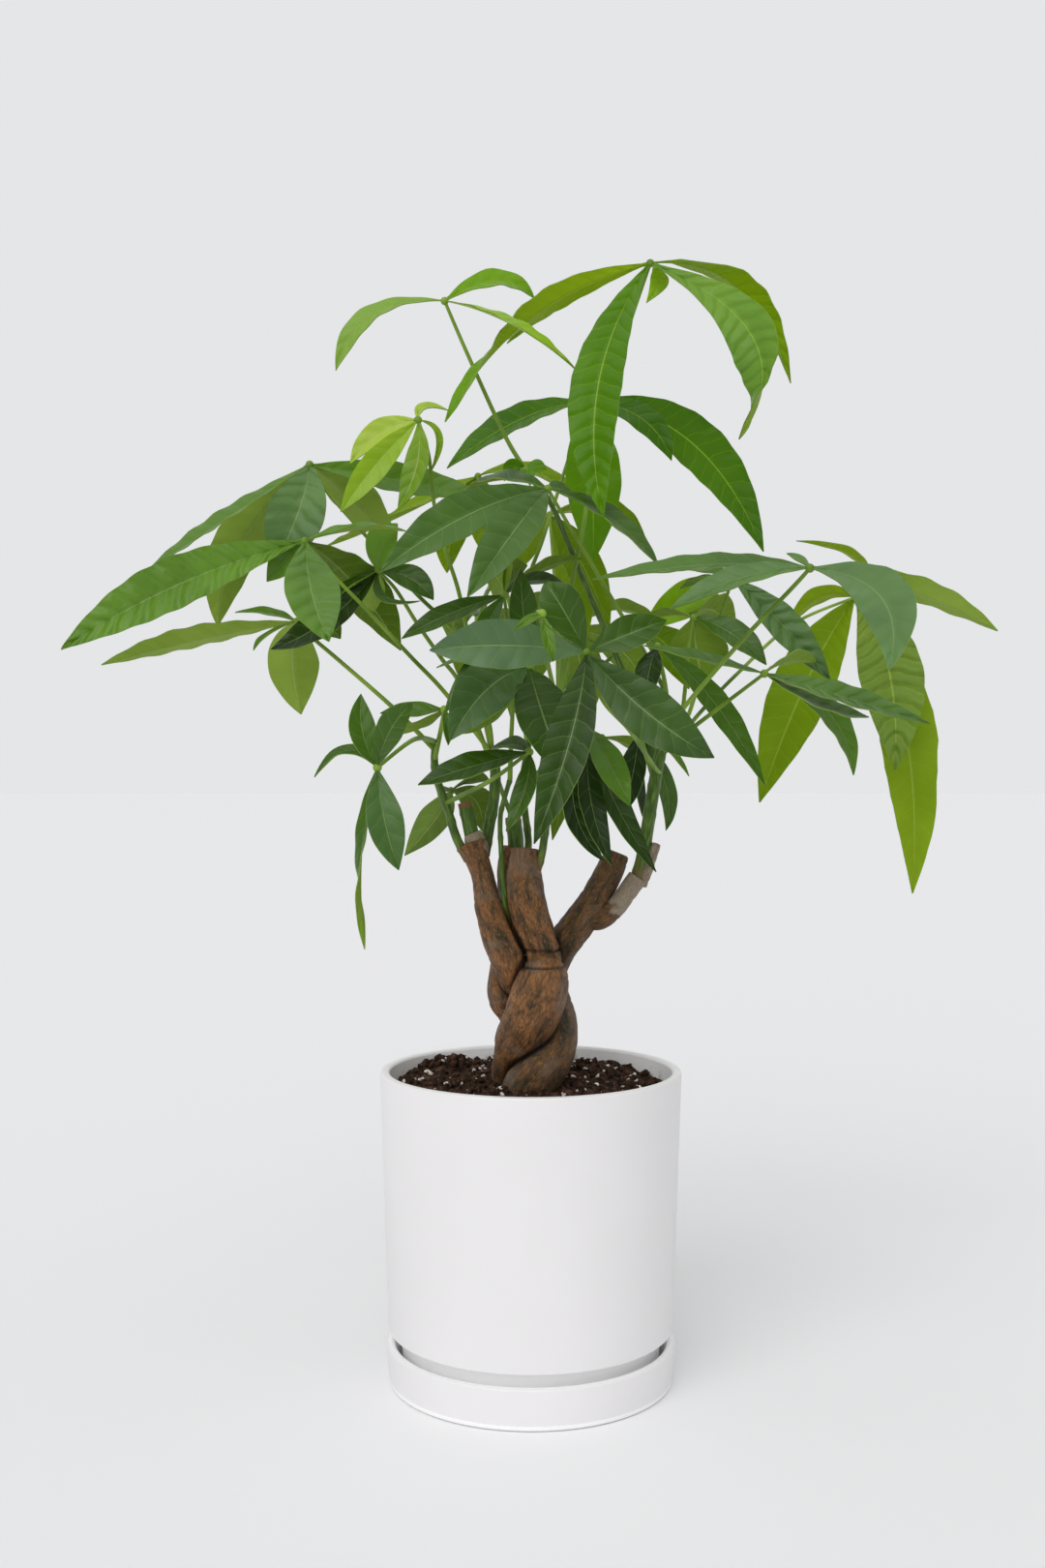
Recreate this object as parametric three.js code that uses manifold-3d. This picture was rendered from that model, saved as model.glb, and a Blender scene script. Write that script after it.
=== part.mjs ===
// Potted money tree: a braided trunk of four stems with palmate leaves,
// in a white cylinder pot that stands in a shallow saucer.
// Millimetres, +Z up, +Y away from the viewer. The origin is the middle of the saucer's underside.
import * as THREE from 'three';
import { mergeVertices } from 'three/addons/utils/BufferGeometryUtils.js';
import Module from 'manifold-3d';

const wasm = await Module();
wasm.setup();

// Pot and saucer
const POT_RIM_RADIUS = 89;
const POT_RIM_HEIGHT = 181.4;
const POT_BASE_RADIUS = 83.9;
const POT_BASE_HEIGHT = 30.5;
const POT_WALL = 5.6;
const POT_FOOT_RADIUS = 76;
const POT_FOOT_WALL = 6;
const POT_FLOOR_THICKNESS = 7;
const DRAIN_HOLE_RADIUS = 8;
const SAUCER_BASE_RADIUS = 83.6;
const SAUCER_RIM_RADIUS = 85.2;
const SAUCER_HEIGHT = 23.5;
const SAUCER_WALL = 5;
const SAUCER_FLOOR = 6;
const SOIL_HEIGHT = 172;

// Clearance between pieces that touch, and a leaf blade's thickness at its midrib and fold in degrees
const GAP = 0.3;
const BLADE_THICKNESS = 1.5;
const BLADE_FOLD = 14;
const PETIOLE_RADIUS = 1.5;
const HUB_RADIUS = 2.8;

// Places on the plant are given as they are seen from the front, in a frame 1080 wide and 1620 high:
// [across, down, depth], with the depth in mm behind the upright plane through the pot's axis.
// The eye is level with the middle of the frame.
const SIGHT = { across: 540, down: 810, focus: 1630, x: -4.9, z: 350, distance: 935 };

// The four woody stems of the braid, top to bottom, and the grey side branch: [across, down, depth, radius]
const LIMBS = {
  trunk_left: [
    [488, 873, 2, 9.8],
    [492, 884, 1, 7.6],
    [498, 903, 0, 6.8],
    [502, 922, 0, 7.4],
    [507, 943, -2, 8.8],
    [515, 968, -6, 10.4],
    [525, 989, -9, 11],
    [531, 1006, -8, 10],
    [536, 1022, 1, 9.6],
    [539, 1045, 10, 10.5],
    [546, 1070, 15, 12],
    [556, 1100, 15, 12.5],
    [556, 1132, 10, 11.5],
    [552, 1166, 5, 9],
  ],
  trunk_centre: [
    [543, 878, -2, 8.9],
    [542, 895, -3, 10],
    [542, 912, -3, 11],
    [546, 940, -5, 11.8],
    [553, 964, -7, 11.6],
    [559, 979, -9, 10.8],
    [560, 984, -9, 11],
    [561, 994, -10, 11],
    [562, 999, -12, 11.4],
    [562, 1009, -16, 14.8],
    [558, 1026, -20, 16.4],
    [549, 1050, -20, 16.2],
    [538, 1072, -15, 14.2],
    [529, 1092, -6, 11.6],
    [527, 1112, 2, 11],
    [532, 1134, 6, 10.8],
    [540, 1166, 8, 9.5],
  ],
  trunk_right: [
    [638, 882, -2, 7],
    [633, 894, -2, 8.2],
    [622, 915, -1, 8.8],
    [612, 934, 0, 9.4],
    [600, 951, 1, 9.8],
    [587, 968, 4, 10.2],
    [576, 984, 9, 10.2],
    [568, 1000, 14, 10.8],
    [565, 1018, 15, 12],
    [569, 1038, 11, 13],
    [573, 1058, 2, 13.8],
    [571, 1080, -8, 14.6],
    [561, 1100, -15, 15.4],
    [547, 1120, -16, 15],
    [538, 1144, -12, 13],
    [534, 1172, -8, 11],
  ],
  trunk_back: [
    [533, 877, 12, 8.2],
    [529, 896, 12, 8.8],
    [530, 930, 12, 8.6],
    [532, 960, 11, 8.8],
    [527, 985, 8, 9.8],
    [523, 1008, 5, 10.8],
    [524, 1030, 4, 11.2],
    [533, 1053, 1, 9.4],
    [530, 1076, -2, 11.4],
    [531, 1099, -2, 11.6],
    [538, 1126, 2, 10.4],
    [545, 1162, 3, 9],
  ],
};
const GREY_BRANCH = [
  [604, 950, 0, 6],
  [621, 948, -2, 7.2],
  [636, 937, -4, 6.3],
  [648, 922, -5, 5.9],
  [659, 907, -5, 6],
];
const TWIG_STUB = [
  [662, 914, -5, 4],
  [671, 893, -6, 3.3],
  [678, 872, -7, 3],
];

// Green shoots, root to tip: [across, down, depth, radius]
const SHOOTS = {
  shoot_left: [
    [484, 889, 0, 2.9],
    [472, 866, -1, 2.8],
    [463, 838, -2, 2.7],
    [452, 806, -4, 2.5],
    [449, 786, -5, 2.4],
    [450, 766, -6, 2.3],
  ],
  shoot_left_stub: [
    [493, 882, 2, 4.9],
    [488, 864, 1, 4.6],
    [484, 846, 0, 4.4],
    [480, 829, 0, 4.2],
  ],
  shoot_middle: [
    [500, 884, 8, 3.8],
    [505, 856, 9, 3.6],
    [510, 828, 8, 3.5],
    [512, 800, 7, 3.4],
    [508, 771, 6, 3.5],
  ],
  shoot_front: [
    [527, 962, 6, 1.9],
    [523, 940, -2, 1.9],
    [520, 915, -5, 1.8],
    [518, 880, -5, 1.7],
    [517, 846, -6, 1.6],
    [521, 826, -6, 1.6],
    [527, 806, -7, 1.6],
  ],
  shoot_back: [
    [533, 892, 12, 4.8],
    [533, 868, 13, 5],
    [530, 844, 13, 4.8],
  ],
  shoot_rear: [
    [540, 896, 16, 2.4],
    [546, 874, 23, 2.4],
    [543, 842, 25, 2.3],
    [540, 812, 23, 2.2],
    [544, 780, 20, 2.1],
    [550, 746, 18, 2],
    [556, 708, 15, 1.9],
  ],
  shoot_centre: [
    [554, 903, -4, 2.6],
    [560, 882, -8, 2.5],
    [564, 856, -9, 2.4],
    [570, 826, -9, 2.3],
    [575, 798, -8, 2.3],
    [578, 770, -6, 2.2],
    [577, 740, -4, 2.2],
  ],
  shoot_right: [
    [657, 914, -5, 4.3],
    [664, 886, -5, 4.1],
    [670, 850, -5, 4],
    [676, 812, -5, 3.9],
    [683, 777, -5, 3.6],
    [697, 743, -5, 3.2],
  ],
  shoot_top: [
    [690, 759, 2, 2.3],
    [668, 733, 10, 2.1],
    [647, 700, 14, 2],
    [624, 648, 14, 1.9],
    [597, 585, 10, 1.8],
    [569, 520, 2, 1.7],
    [545, 492, -4, 1.6],
  ],
};

// The leaves. Each petiole leaves its shoot at a share of the shoot's length, runs through its path and
// ends at the hub, where the leaflets spread. A leaflet's midrib passes its mid point on the way to its
// tip. Its turn is the angle of the upper face away from the viewer, towards the sky: 0 faces the
// viewer, 90 is edge on and 180 shows the underside. Its twist is added towards the tip. Width in mm.
const LEAVES = [
  {
    name: 'leaf_top_right', tone: 'fresh', shoot: 'shoot_centre', at: 1,
    path: [[589, 618, 6], [603, 543, 2], [611, 491, -2], [640, 370, -14]],
    hub: [672, 272, -22],
    leaflets: [
      { mid: [619, 395, -54], tip: [624, 534, -66], width: 31, turn: 18 },
      { mid: [548, 330, -20], tip: [460, 436, -18], width: 24, turn: 150, twist: -120 },
      { mid: [598, 303, 0], tip: [524, 355, 10], width: 20, turn: 118 },
      { mid: [764, 299, 12], tip: [817, 396, 14], width: 25, turn: 128 },
      { mid: [780, 352, -46], tip: [764, 454, -48], width: 30, turn: 22, twist: 125 },
      { mid: [684, 284, 8], tip: [668, 313, 14], width: 13, turn: 30 },
    ],
  },
  {
    name: 'leaf_top_left', tone: 'fresh', shoot: 'shoot_top', at: 0.9,
    path: [[526, 458, 5], [485, 370, -6]],
    hub: [459.5, 311, -10],
    leaflets: [
      { mid: [385, 326, -14], tip: [347, 383, -18], width: 16, turn: 66, twist: -45 },
      { mid: [512, 291, -2], tip: [552, 308, 2], width: 20, turn: 60 },
      { mid: [530, 336, -44], tip: [597, 384, -38], width: 17, turn: 76 },
    ],
  },
  {
    name: 'leaf_young', tone: 'young', shoot: 'shoot_middle', at: 1,
    path: [[505, 745, 5], [490, 688, 2], [475, 615, -4], [461, 570, -10], [449, 523, -18], [443, 470, -24]],
    hub: [432, 434, -28],
    leaflets: [
      { mid: [393, 447, -24], tip: [362, 479, -24], width: 16, turn: 30 },
      { mid: [390, 479, -44], tip: [352, 529, -50], width: 17, turn: 12 },
      { mid: [431, 480, -42], tip: [411, 527, -46], width: 15, turn: 20 },
      { mid: [453, 450, -26], tip: [445, 488, -26], width: 5, turn: 40 },
      { mid: [438, 421, -20], tip: [463, 424, -18], width: 8, turn: 60 },
    ],
  },
  {
    name: 'leaf_upper_back', tone: 'fresh', shoot: 'shoot_rear', at: 1,
    path: [[546, 640, 20], [547, 597, 24], [560, 560, 28], [577, 507, 34]],
    hub: [606, 415, 44],
    leaflets: [
      { mid: [535, 435, 40], tip: [462, 484, 36], width: 24, turn: 50 },
      { mid: [714, 457, 54], tip: [789, 570, 48], width: 34, turn: 22 },
      { mid: [662, 432, 28], tip: [694, 476, 22], width: 19, turn: 30 },
      { mid: [612, 488, 36], tip: [613, 580, 40], width: 36, turn: 8 },
      { mid: [610, 425, 90], tip: [618, 470, 130], width: 32, turn: 165 },
    ],
  },
  {
    name: 'leaf_centre_upper', tone: 'mature', shoot: 'shoot_right', at: 1,
    path: [[686, 712, -12], [665, 672, -24], [647, 643, -32], [605, 572, -42]],
    hub: [566, 505, -48],
    leaflets: [
      { mid: [482, 533, -72], tip: [393, 591, -84], width: 28, turn: 28 },
      { mid: [532, 548, -78], tip: [483, 617, -98], width: 27, turn: 20 },
      { mid: [628, 534, -56], tip: [680, 584, -66], width: 19, turn: 62 },
      { mid: [517, 496, -28], tip: [476, 512, -14], width: 22, turn: 78 },
      { mid: [580, 506, -30], tip: [600, 520, -22], width: 12, turn: 70 },
    ],
  },
  {
    name: 'leaf_tuft', tone: 'fresh', shoot: 'shoot_top', at: 1,
    path: [],
    hub: [543, 486, -3],
    leaflets: [
      { mid: [531, 484, -6], tip: [521, 497, -8], width: 12, turn: 20 },
      { mid: [545, 487, -8], tip: [548, 502, -10], width: 9, turn: 20 },
      { mid: [554, 483, -4], tip: [564, 485, -5], width: 10, turn: 40 },
    ],
  },
  {
    name: 'leaf_left_upper', tone: 'mature', shoot: 'shoot_middle', at: 0.82,
    path: [[489, 692, 16], [473, 656, 12], [428, 611, 3], [382, 558, -4], [338, 508, -10]],
    hub: [320, 480, -14],
    leaflets: [
      { mid: [232, 538, -14], tip: [149, 593, -14], width: 22, turn: 72 },
      { mid: [250, 560, 14], tip: [225, 647, 20], width: 32, turn: 158 },
      { mid: [308, 530, -28], tip: [281, 589, -24], width: 35, turn: 14 },
      { mid: [362, 513, 14], tip: [409, 564, 24], width: 28, turn: 150 },
      { mid: [408, 496, 6], tip: [502, 513, 8], width: 23, turn: 38 },
    ],
  },
  {
    name: 'leaf_left_middle', tone: 'mature', shoot: 'shoot_middle', at: 0.9,
    path: [[461, 717, -10], [425, 679, -22], [380, 631, -34], [347, 597, -42]],
    hub: [315, 559, -48],
    leaflets: [
      { mid: [187, 603, -62], tip: [63, 671, -70], width: 32, turn: 26 },
      { mid: [297, 577, -46], tip: [276, 601, -44], width: 18, turn: 25 },
      { mid: [322, 612, -74], tip: [340, 663, -88], width: 31, turn: 8 },
      { mid: [368, 548, -34], tip: [420, 549, -26], width: 22, turn: 84 },
      { mid: [368, 606, 8], tip: [414, 672, 26], width: 33, turn: 152 },
    ],
  },
  {
    name: 'leaf_left_low', tone: 'mature', shoot: 'shoot_left', at: 0.9,
    path: [[406, 731, -12], [350, 682, -18], [323, 659, -20]],
    hub: [307, 642, -22],
    leaflets: [
      { mid: [205, 662, -18], tip: [105, 687, -18], width: 24, turn: 122 },
      { mid: [274, 634, -8], tip: [243, 633, 0], width: 14, turn: 72 },
      { mid: [279, 655, -34], tip: [262, 672, -40], width: 10, turn: 80 },
      { mid: [302, 684, 0], tip: [311, 738, 6], width: 32, turn: 172 },
      { mid: [330, 640, 24], tip: [352, 660, 48], width: 24, turn: 150 },
    ],
  },
  {
    name: 'leaf_left_inner', tone: 'mature', shoot: 'shoot_middle', at: 0.74,
    path: [[478, 712, 13], [456, 680, 8], [431, 644, 1], [409, 609, -5]],
    hub: [391, 590, -8],
    leaflets: [
      { mid: [338, 641, -32], tip: [280, 671, -42], width: 19, turn: 24 },
      { mid: [364, 604, -18], tip: [342, 623, -22], width: 14, turn: 70 },
      { mid: [385, 612, 4], tip: [387, 632, 12], width: 18, turn: 160 },
      { mid: [396, 565, -14], tip: [411, 541, -18], width: 24, turn: 35 },
      { mid: [424, 598, -12], tip: [448, 620, -14], width: 17, turn: 26 },
      { mid: [396, 620, -20], tip: [434, 621, -26], width: 9, turn: 60 },
    ],
  },
  {
    name: 'leaf_star', tone: 'mature', shoot: 'shoot_right', at: 0.72,
    path: [[679, 796, -14], [651, 755, -66], [622, 722, -92]],
    hub: [606, 674, -104],
    leaflets: [
      { mid: [524, 667, -114], tip: [444, 672, -118], width: 28, turn: 14 },
      { mid: [582, 630, -108], tip: [563, 602, -104], width: 23, turn: 8 },
      { mid: [648, 656, -106], tip: [689, 641, -102], width: 20, turn: 20 },
      { mid: [667, 735, -122], tip: [738, 783, -128], width: 29, turn: 10 },
      { mid: [590, 762, -130], tip: [552, 872, -140], width: 25, turn: 12 },
    ],
  },
  {
    name: 'leaf_front_inner', tone: 'mature', shoot: 'shoot_rear', at: 0.9,
    path: [[553, 716, -22]],
    hub: [547, 690, -62],
    leaflets: [
      { mid: [505, 711, -84], tip: [465, 765, -100], width: 31, turn: 16 },
      { mid: [560, 736, -92], tip: [584, 804, -108], width: 30, turn: 8 },
      { mid: [520, 735, -70], tip: [478, 758, -78], width: 14, turn: 110 },
      { mid: [541, 638, -62], tip: [538, 588, -62], width: 17, turn: 10 },
      { mid: [505, 679, -66], tip: [451, 690, -64], width: 12, turn: 70 },
      { mid: [506, 690, -62], tip: [460, 736, -64], width: 22, turn: 40 },
    ],
  },
  {
    name: 'leaf_centre_low', tone: 'mature', shoot: 'shoot_left', at: 0.45,
    path: [[506, 807, -42]],
    hub: [547, 777, -64],
    leaflets: [
      { mid: [489, 792, -74], tip: [432, 811, -80], width: 18, turn: 40 },
      { mid: [543, 815, -76], tip: [523, 859, -84], width: 13, turn: 20 },
      { mid: [528, 770, -50], tip: [505, 776, -40], width: 14, turn: 60 },
    ],
  },
  {
    name: 'leaf_front_left', tone: 'mature', shoot: 'shoot_left', at: 1,
    path: [[428, 764, -70]],
    hub: [390, 793, -112],
    leaflets: [
      { mid: [375, 758, -112], tip: [373, 717, -108], width: 15, turn: 10 },
      { mid: [404, 754, -128], tip: [427, 726, -138], width: 16, turn: 20 },
      { mid: [397, 846, -122], tip: [412, 899, -124], width: 20, turn: 8 },
      { mid: [374, 880, -108], tip: [377, 981, -106], width: 12, turn: 40, twist: 120 },
      { mid: [358, 776, -104], tip: [325, 803, -102], width: 10, turn: 60 },
    ],
  },
  {
    name: 'leaf_left_small', tone: 'mature', shoot: 'shoot_left', at: 0.8,
    path: [[456, 752, -20]],
    hub: [459, 733, -34],
    leaflets: [
      { mid: [428, 735, -36], tip: [393, 737, -36], width: 14, turn: 50 },
      { mid: [437, 751, -24], tip: [410, 759, -16], width: 16, turn: 110 },
      { mid: [462, 748, -40], tip: [463, 770, -42], width: 8, turn: 30 },
    ],
  },
  {
    name: 'leaf_left_hanging', tone: 'mature', shoot: 'shoot_left', at: 0.55,
    path: [],
    hub: [466, 817, 14],
    leaflets: [
      { mid: [450, 846, 26], tip: [418, 884, 34], width: 20, turn: 165 },
      { mid: [486, 808, 30], tip: [506, 807, 40], width: 16, turn: 110 },
      { mid: [492, 828, 36], tip: [498, 859, 48], width: 20, turn: 165 },
    ],
  },
  {
    name: 'leaf_right_inner', tone: 'mature', shoot: 'shoot_right', at: 0.95,
    path: [[704, 740, 3], [709, 702, 2], [712, 668, 1]],
    hub: [717, 638, 2],
    leaflets: [
      { mid: [756, 655, -8], tip: [792, 687, -16], width: 20, turn: 40 },
      { mid: [720, 672, 8], tip: [727, 709, 10], width: 38, turn: 172 },
      { mid: [690, 636, 10], tip: [659, 646, 14], width: 18, turn: 105 },
      { mid: [735, 630, 40], tip: [760, 650, 66], width: 26, turn: 140 },
    ],
  },
  {
    name: 'leaf_right_dark', tone: 'mature', shoot: 'shoot_right', at: 0.9,
    path: [[688, 712, -30]],
    hub: [679, 668, -34],
    leaflets: [
      { mid: [738, 726, -26], tip: [790, 811, -24], width: 17, turn: 28 },
      { mid: [671, 694, -50], tip: [668, 722, -60], width: 16, turn: 16 },
      { mid: [652, 655, -46], tip: [628, 662, -56], width: 18, turn: 60 },
    ],
  },
  {
    name: 'leaf_right_middle', tone: 'mature', shoot: 'shoot_right', at: 0.8,
    path: [[709, 757, -30]],
    hub: [790, 696, -64],
    leaflets: [
      { mid: [730, 683, -66], tip: [665, 667, -66], width: 16, turn: 70 },
      { mid: [866, 719, -76], tip: [961, 748, -80], width: 20, turn: 56 },
      { mid: [845, 728, -68], tip: [898, 741, -64], width: 18, turn: 66 },
      { mid: [857, 738, -48], tip: [882, 801, -42], width: 18, turn: 40 },
      { mid: [815, 684, -40], tip: [844, 684, -24], width: 18, turn: 110 },
    ],
  },
  {
    name: 'leaf_right_veined', tone: 'mature', shoot: 'shoot_right', at: 0.85,
    path: [[708, 746, 12], [722, 706, 28], [741, 648, 22]],
    hub: [757, 597, -4],
    leaflets: [
      { mid: [808, 645, -16], tip: [858, 703, -20], width: 22, turn: 24 },
      { mid: [725, 588, 4], tip: [693, 590, 10], width: 16, turn: 62 },
      { mid: [732, 600, 14], tip: [703, 608, 26], width: 18, turn: 100 },
    ],
  },
  {
    name: 'leaf_right_front', tone: 'mature', shoot: 'shoot_right', at: 0.86,
    path: [[699, 741, -50], [762, 667, -92], [820, 606, -122]],
    hub: [837, 587, -128],
    leaflets: [
      { mid: [736, 584, -112], tip: [612, 599, -100], width: 18, turn: 62 },
      { mid: [764, 598, -126], tip: [692, 630, -124], width: 17, turn: 48 },
      { mid: [910, 617, -160], tip: [919, 692, -182], width: 29, turn: 22 },
      { mid: [940, 611, -118], tip: [1031, 652, -116], width: 22, turn: 126 },
      { mid: [826, 578, -120], tip: [813, 572, -116], width: 6, turn: 50 },
    ],
  },
  {
    name: 'leaf_right_back', tone: 'backlit', shoot: 'shoot_right', at: 0.78,
    path: [[702, 764, 16], [722, 738, 36], [762, 696, 62], [819, 645, 96]],
    hub: [884, 617, 118],
    leaflets: [
      { mid: [918, 690, 110], tip: [925, 795, 104], width: 44, turn: 10 },
      { mid: [935, 750, 136], tip: [943, 923, 142], width: 41, turn: 14 },
      { mid: [834, 704, 130], tip: [785, 829, 134], width: 43, turn: 14 },
      { mid: [848, 617, 122], tip: [815, 646, 126], width: 18, turn: 130 },
      { mid: [886, 579, 124], tip: [823, 559, 128], width: 14, turn: 114 },
    ],
  },
  {
    name: 'leaf_right_oval', tone: 'fresh', shoot: 'shoot_centre', at: 0.86,
    path: [[606, 706, 32]],
    hub: [662, 652, 44],
    leaflets: [
      { mid: [706, 622, 44], tip: [752, 598, 44], width: 24, turn: 12 },
      { mid: [690, 668, 66], tip: [712, 712, 80], width: 26, turn: 160 },
    ],
  },
  {
    name: 'leaf_low_right', tone: 'mature', shoot: 'shoot_centre', at: 0.76,
    path: [],
    hub: [608, 752, -58],
    leaflets: [
      { mid: [592, 826, -62], tip: [624, 890, -60], width: 17, turn: 24 },
      { mid: [610, 824, -76], tip: [632, 894, -84], width: 15, turn: 18 },
      { mid: [633, 824, -54], tip: [678, 901, -52], width: 15, turn: 22 },
      { mid: [629, 788, -88], tip: [651, 833, -98], width: 17, turn: 12 },
      { mid: [587, 812, -44], tip: [571, 868, -40], width: 13, turn: 150 },
    ],
  },
  {
    name: 'leaf_low_right_back', tone: 'mature', shoot: 'shoot_right', at: 0.62,
    path: [],
    hub: [660, 756, 22],
    leaflets: [
      { mid: [655, 796, 22], tip: [643, 843, 24], width: 18, turn: 20 },
      { mid: [660, 806, 34], tip: [667, 851, 40], width: 8, turn: 40 },
      { mid: [688, 772, 28], tip: [712, 802, 32], width: 10, turn: 60 },
      { mid: [688, 812, 36], tip: [688, 858, 42], width: 12, turn: 20 },
    ],
  },
  {
    name: 'leaf_centre_small', tone: 'mature', shoot: 'shoot_front', at: 1,
    path: [[528, 770, -6], [530, 700, -14]],
    hub: [521, 615, -34],
    leaflets: [
      { mid: [466, 634, -44], tip: [415, 660, -48], width: 14, turn: 32 },
      { mid: [514, 597, -20], tip: [500, 586, -8], width: 24, turn: 150 },
      { mid: [530, 594, -16], tip: [545, 584, 0], width: 18, turn: 140 },
      { mid: [506, 640, -44], tip: [495, 664, -50], width: 12, turn: 20 },
      { mid: [553, 600, -30], tip: [587, 609, -30], width: 14, turn: 60 },
      { mid: [560, 588, -10], tip: [602, 577, 0], width: 13, turn: 120 },
    ],
  },
  {
    name: 'leaf_new_shoot', tone: 'young', shoot: 'shoot_centre', at: 0.93,
    path: [[573, 716, -28], [556, 640, -94]],
    hub: [560, 634, -124],
    leaflets: [
      { mid: [566, 657, -128], tip: [572, 684, -130], width: 7, turn: 10 },
      { mid: [548, 640, -128], tip: [532, 651, -132], width: 6, turn: 40 },
    ],
  },
  {
    name: 'leaf_back_left', tone: 'backlit', shoot: 'shoot_rear', at: 0.7,
    path: [[530, 640, 60], [500, 530, 110]],
    hub: [494, 492, 130],
    leaflets: [
      { mid: [450, 512, 128], tip: [402, 533, 126], width: 16, turn: 60 },
      { mid: [548, 487, 126], tip: [600, 515, 122], width: 18, turn: 60 },
      { mid: [470, 540, 144], tip: [462, 592, 150], width: 26, turn: 160 },
      { mid: [400, 540, 150], tip: [336, 565, 156], width: 24, turn: 100 },
      { mid: [500, 530, 176], tip: [510, 590, 200], width: 30, turn: 165 },
    ],
  },
  {
    name: 'leaf_back_middle', tone: 'backlit', shoot: 'shoot_centre', at: 0.93,
    path: [[576, 650, 50], [572, 580, 78]],
    hub: [568, 532, 92],
    leaflets: [
      { mid: [600, 580, 92], tip: [630, 650, 94], width: 26, turn: 12 },
      { mid: [590, 590, 112], tip: [606, 660, 124], width: 26, turn: 160 },
      { mid: [540, 560, 120], tip: [516, 610, 136], width: 28, turn: 160 },
      { mid: [620, 530, 118], tip: [668, 560, 138], width: 26, turn: 130 },
    ],
  },
  {
    name: 'leaf_rear_left', tone: 'mature', shoot: 'shoot_back', at: 0.85,
    path: [[508, 780, 60], [500, 690, 110]],
    hub: [494, 640, 132],
    leaflets: [
      { mid: [474, 634, 152], tip: [466, 664, 186], width: 26, turn: 140 },
      { mid: [488, 672, 158], tip: [484, 714, 172], width: 28, turn: 165 },
      { mid: [510, 672, 168], tip: [516, 716, 194], width: 28, turn: 165 },
      { mid: [520, 644, 160], tip: [542, 670, 186], width: 24, turn: 150 },
      { mid: [498, 622, 170], tip: [500, 640, 206], width: 26, turn: 150 },
    ],
  },
  {
    name: 'leaf_rear_middle', tone: 'mature', shoot: 'shoot_rear', at: 0.45,
    path: [[560, 790, 70], [585, 700, 130]],
    hub: [592, 650, 150],
    leaflets: [
      { mid: [550, 680, 166], tip: [528, 742, 178], width: 30, turn: 165 },
      { mid: [600, 690, 180], tip: [606, 750, 200], width: 32, turn: 172 },
      { mid: [640, 670, 170], tip: [672, 720, 184], width: 28, turn: 155 },
      { mid: [640, 630, 150], tip: [682, 650, 150], width: 24, turn: 110 },
      { mid: [560, 630, 180], tip: [540, 650, 214], width: 26, turn: 150 },
    ],
  },
  {
    name: 'leaf_rear_low', tone: 'mature', shoot: 'shoot_rear', at: 0.56,
    path: [[590, 790, 60]],
    hub: [622, 762, 88],
    leaflets: [
      { mid: [660, 775, 96], tip: [690, 806, 104], width: 20, turn: 120 },
      { mid: [630, 800, 110], tip: [636, 850, 124], width: 24, turn: 170 },
      { mid: [590, 790, 106], tip: [566, 832, 116], width: 22, turn: 160 },
    ],
  },
];

// Colours by tone of the leaf
const LEAF_COLOURS = { mature: 0x2f5a2c, fresh: 0x4d8a2a, young: 0x86b81e, backlit: 0x6f9322 };

const plant = new THREE.Group();

function material(colour, roughness) {
  return new THREE.MeshStandardMaterial({ color: colour, roughness, metalness: 0 });
}

function seen([across, down, depth]) {
  const scale = (SIGHT.distance + depth) / SIGHT.focus;
  return new THREE.Vector3(
    SIGHT.x + (across - SIGHT.across) * scale,
    depth,
    SIGHT.z + (SIGHT.down - down) * scale,
  );
}

// A closed geometry becomes an exact solid once its shared vertices are merged
function toSolid(geometry) {
  const bare = geometry.clone();
  bare.deleteAttribute('normal');
  bare.deleteAttribute('uv');
  const merged = mergeVertices(bare, 1e-4);
  return new wasm.Manifold(new wasm.Mesh({
    numProp: 3,
    vertProperties: new Float32Array(merged.attributes.position.array),
    triVerts: new Uint32Array(merged.index.array),
  }));
}

function toGeometry(solid) {
  const mesh = solid.getMesh();
  const geometry = new THREE.BufferGeometry();
  geometry.setAttribute('position', new THREE.BufferAttribute(mesh.vertProperties, 3));
  geometry.setIndex(new THREE.BufferAttribute(mesh.triVerts, 1));
  geometry.computeVertexNormals();
  return geometry;
}

// The largest body of a solid, without the scraps that a cut leaves
function largest(solid) {
  return solid.decompose().reduce((best, body) => (body.volume() > best.volume() ? body : best));
}

function addPiece(name, solid, look) {
  const mesh = new THREE.Mesh(toGeometry(largest(solid)), look);
  mesh.name = name;
  plant.add(mesh);
}

// A closed skin over rings of points, each ring with the same number of points in the same order.
// The sides from otherWay on are split along their other diagonal, so that both faces of a blade match.
function loft(rings, otherWay = Infinity) {
  const count = rings[0].length;
  const positions = rings.flat().flatMap((point) => point.toArray());
  const index = [];
  for (let ring = 0; ring < rings.length - 1; ring += 1) {
    for (let side = 0; side < count; side += 1) {
      const next = (side + 1) % count;
      const a = ring * count + side;
      const b = ring * count + next;
      if (side < otherWay) {
        index.push(a, b, b + count, a, b + count, a + count);
      } else {
        index.push(a, b, a + count, b, b + count, a + count);
      }
    }
  }
  const last = (rings.length - 1) * count;
  for (let side = 1; side < count - 1; side += 1) {
    index.push(0, side + 1, side);
    index.push(last, last + side, last + side + 1);
  }
  const geometry = new THREE.BufferGeometry();
  geometry.setAttribute('position', new THREE.BufferAttribute(new Float32Array(positions), 3));
  geometry.setIndex(index);
  return toSolid(geometry);
}

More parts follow.
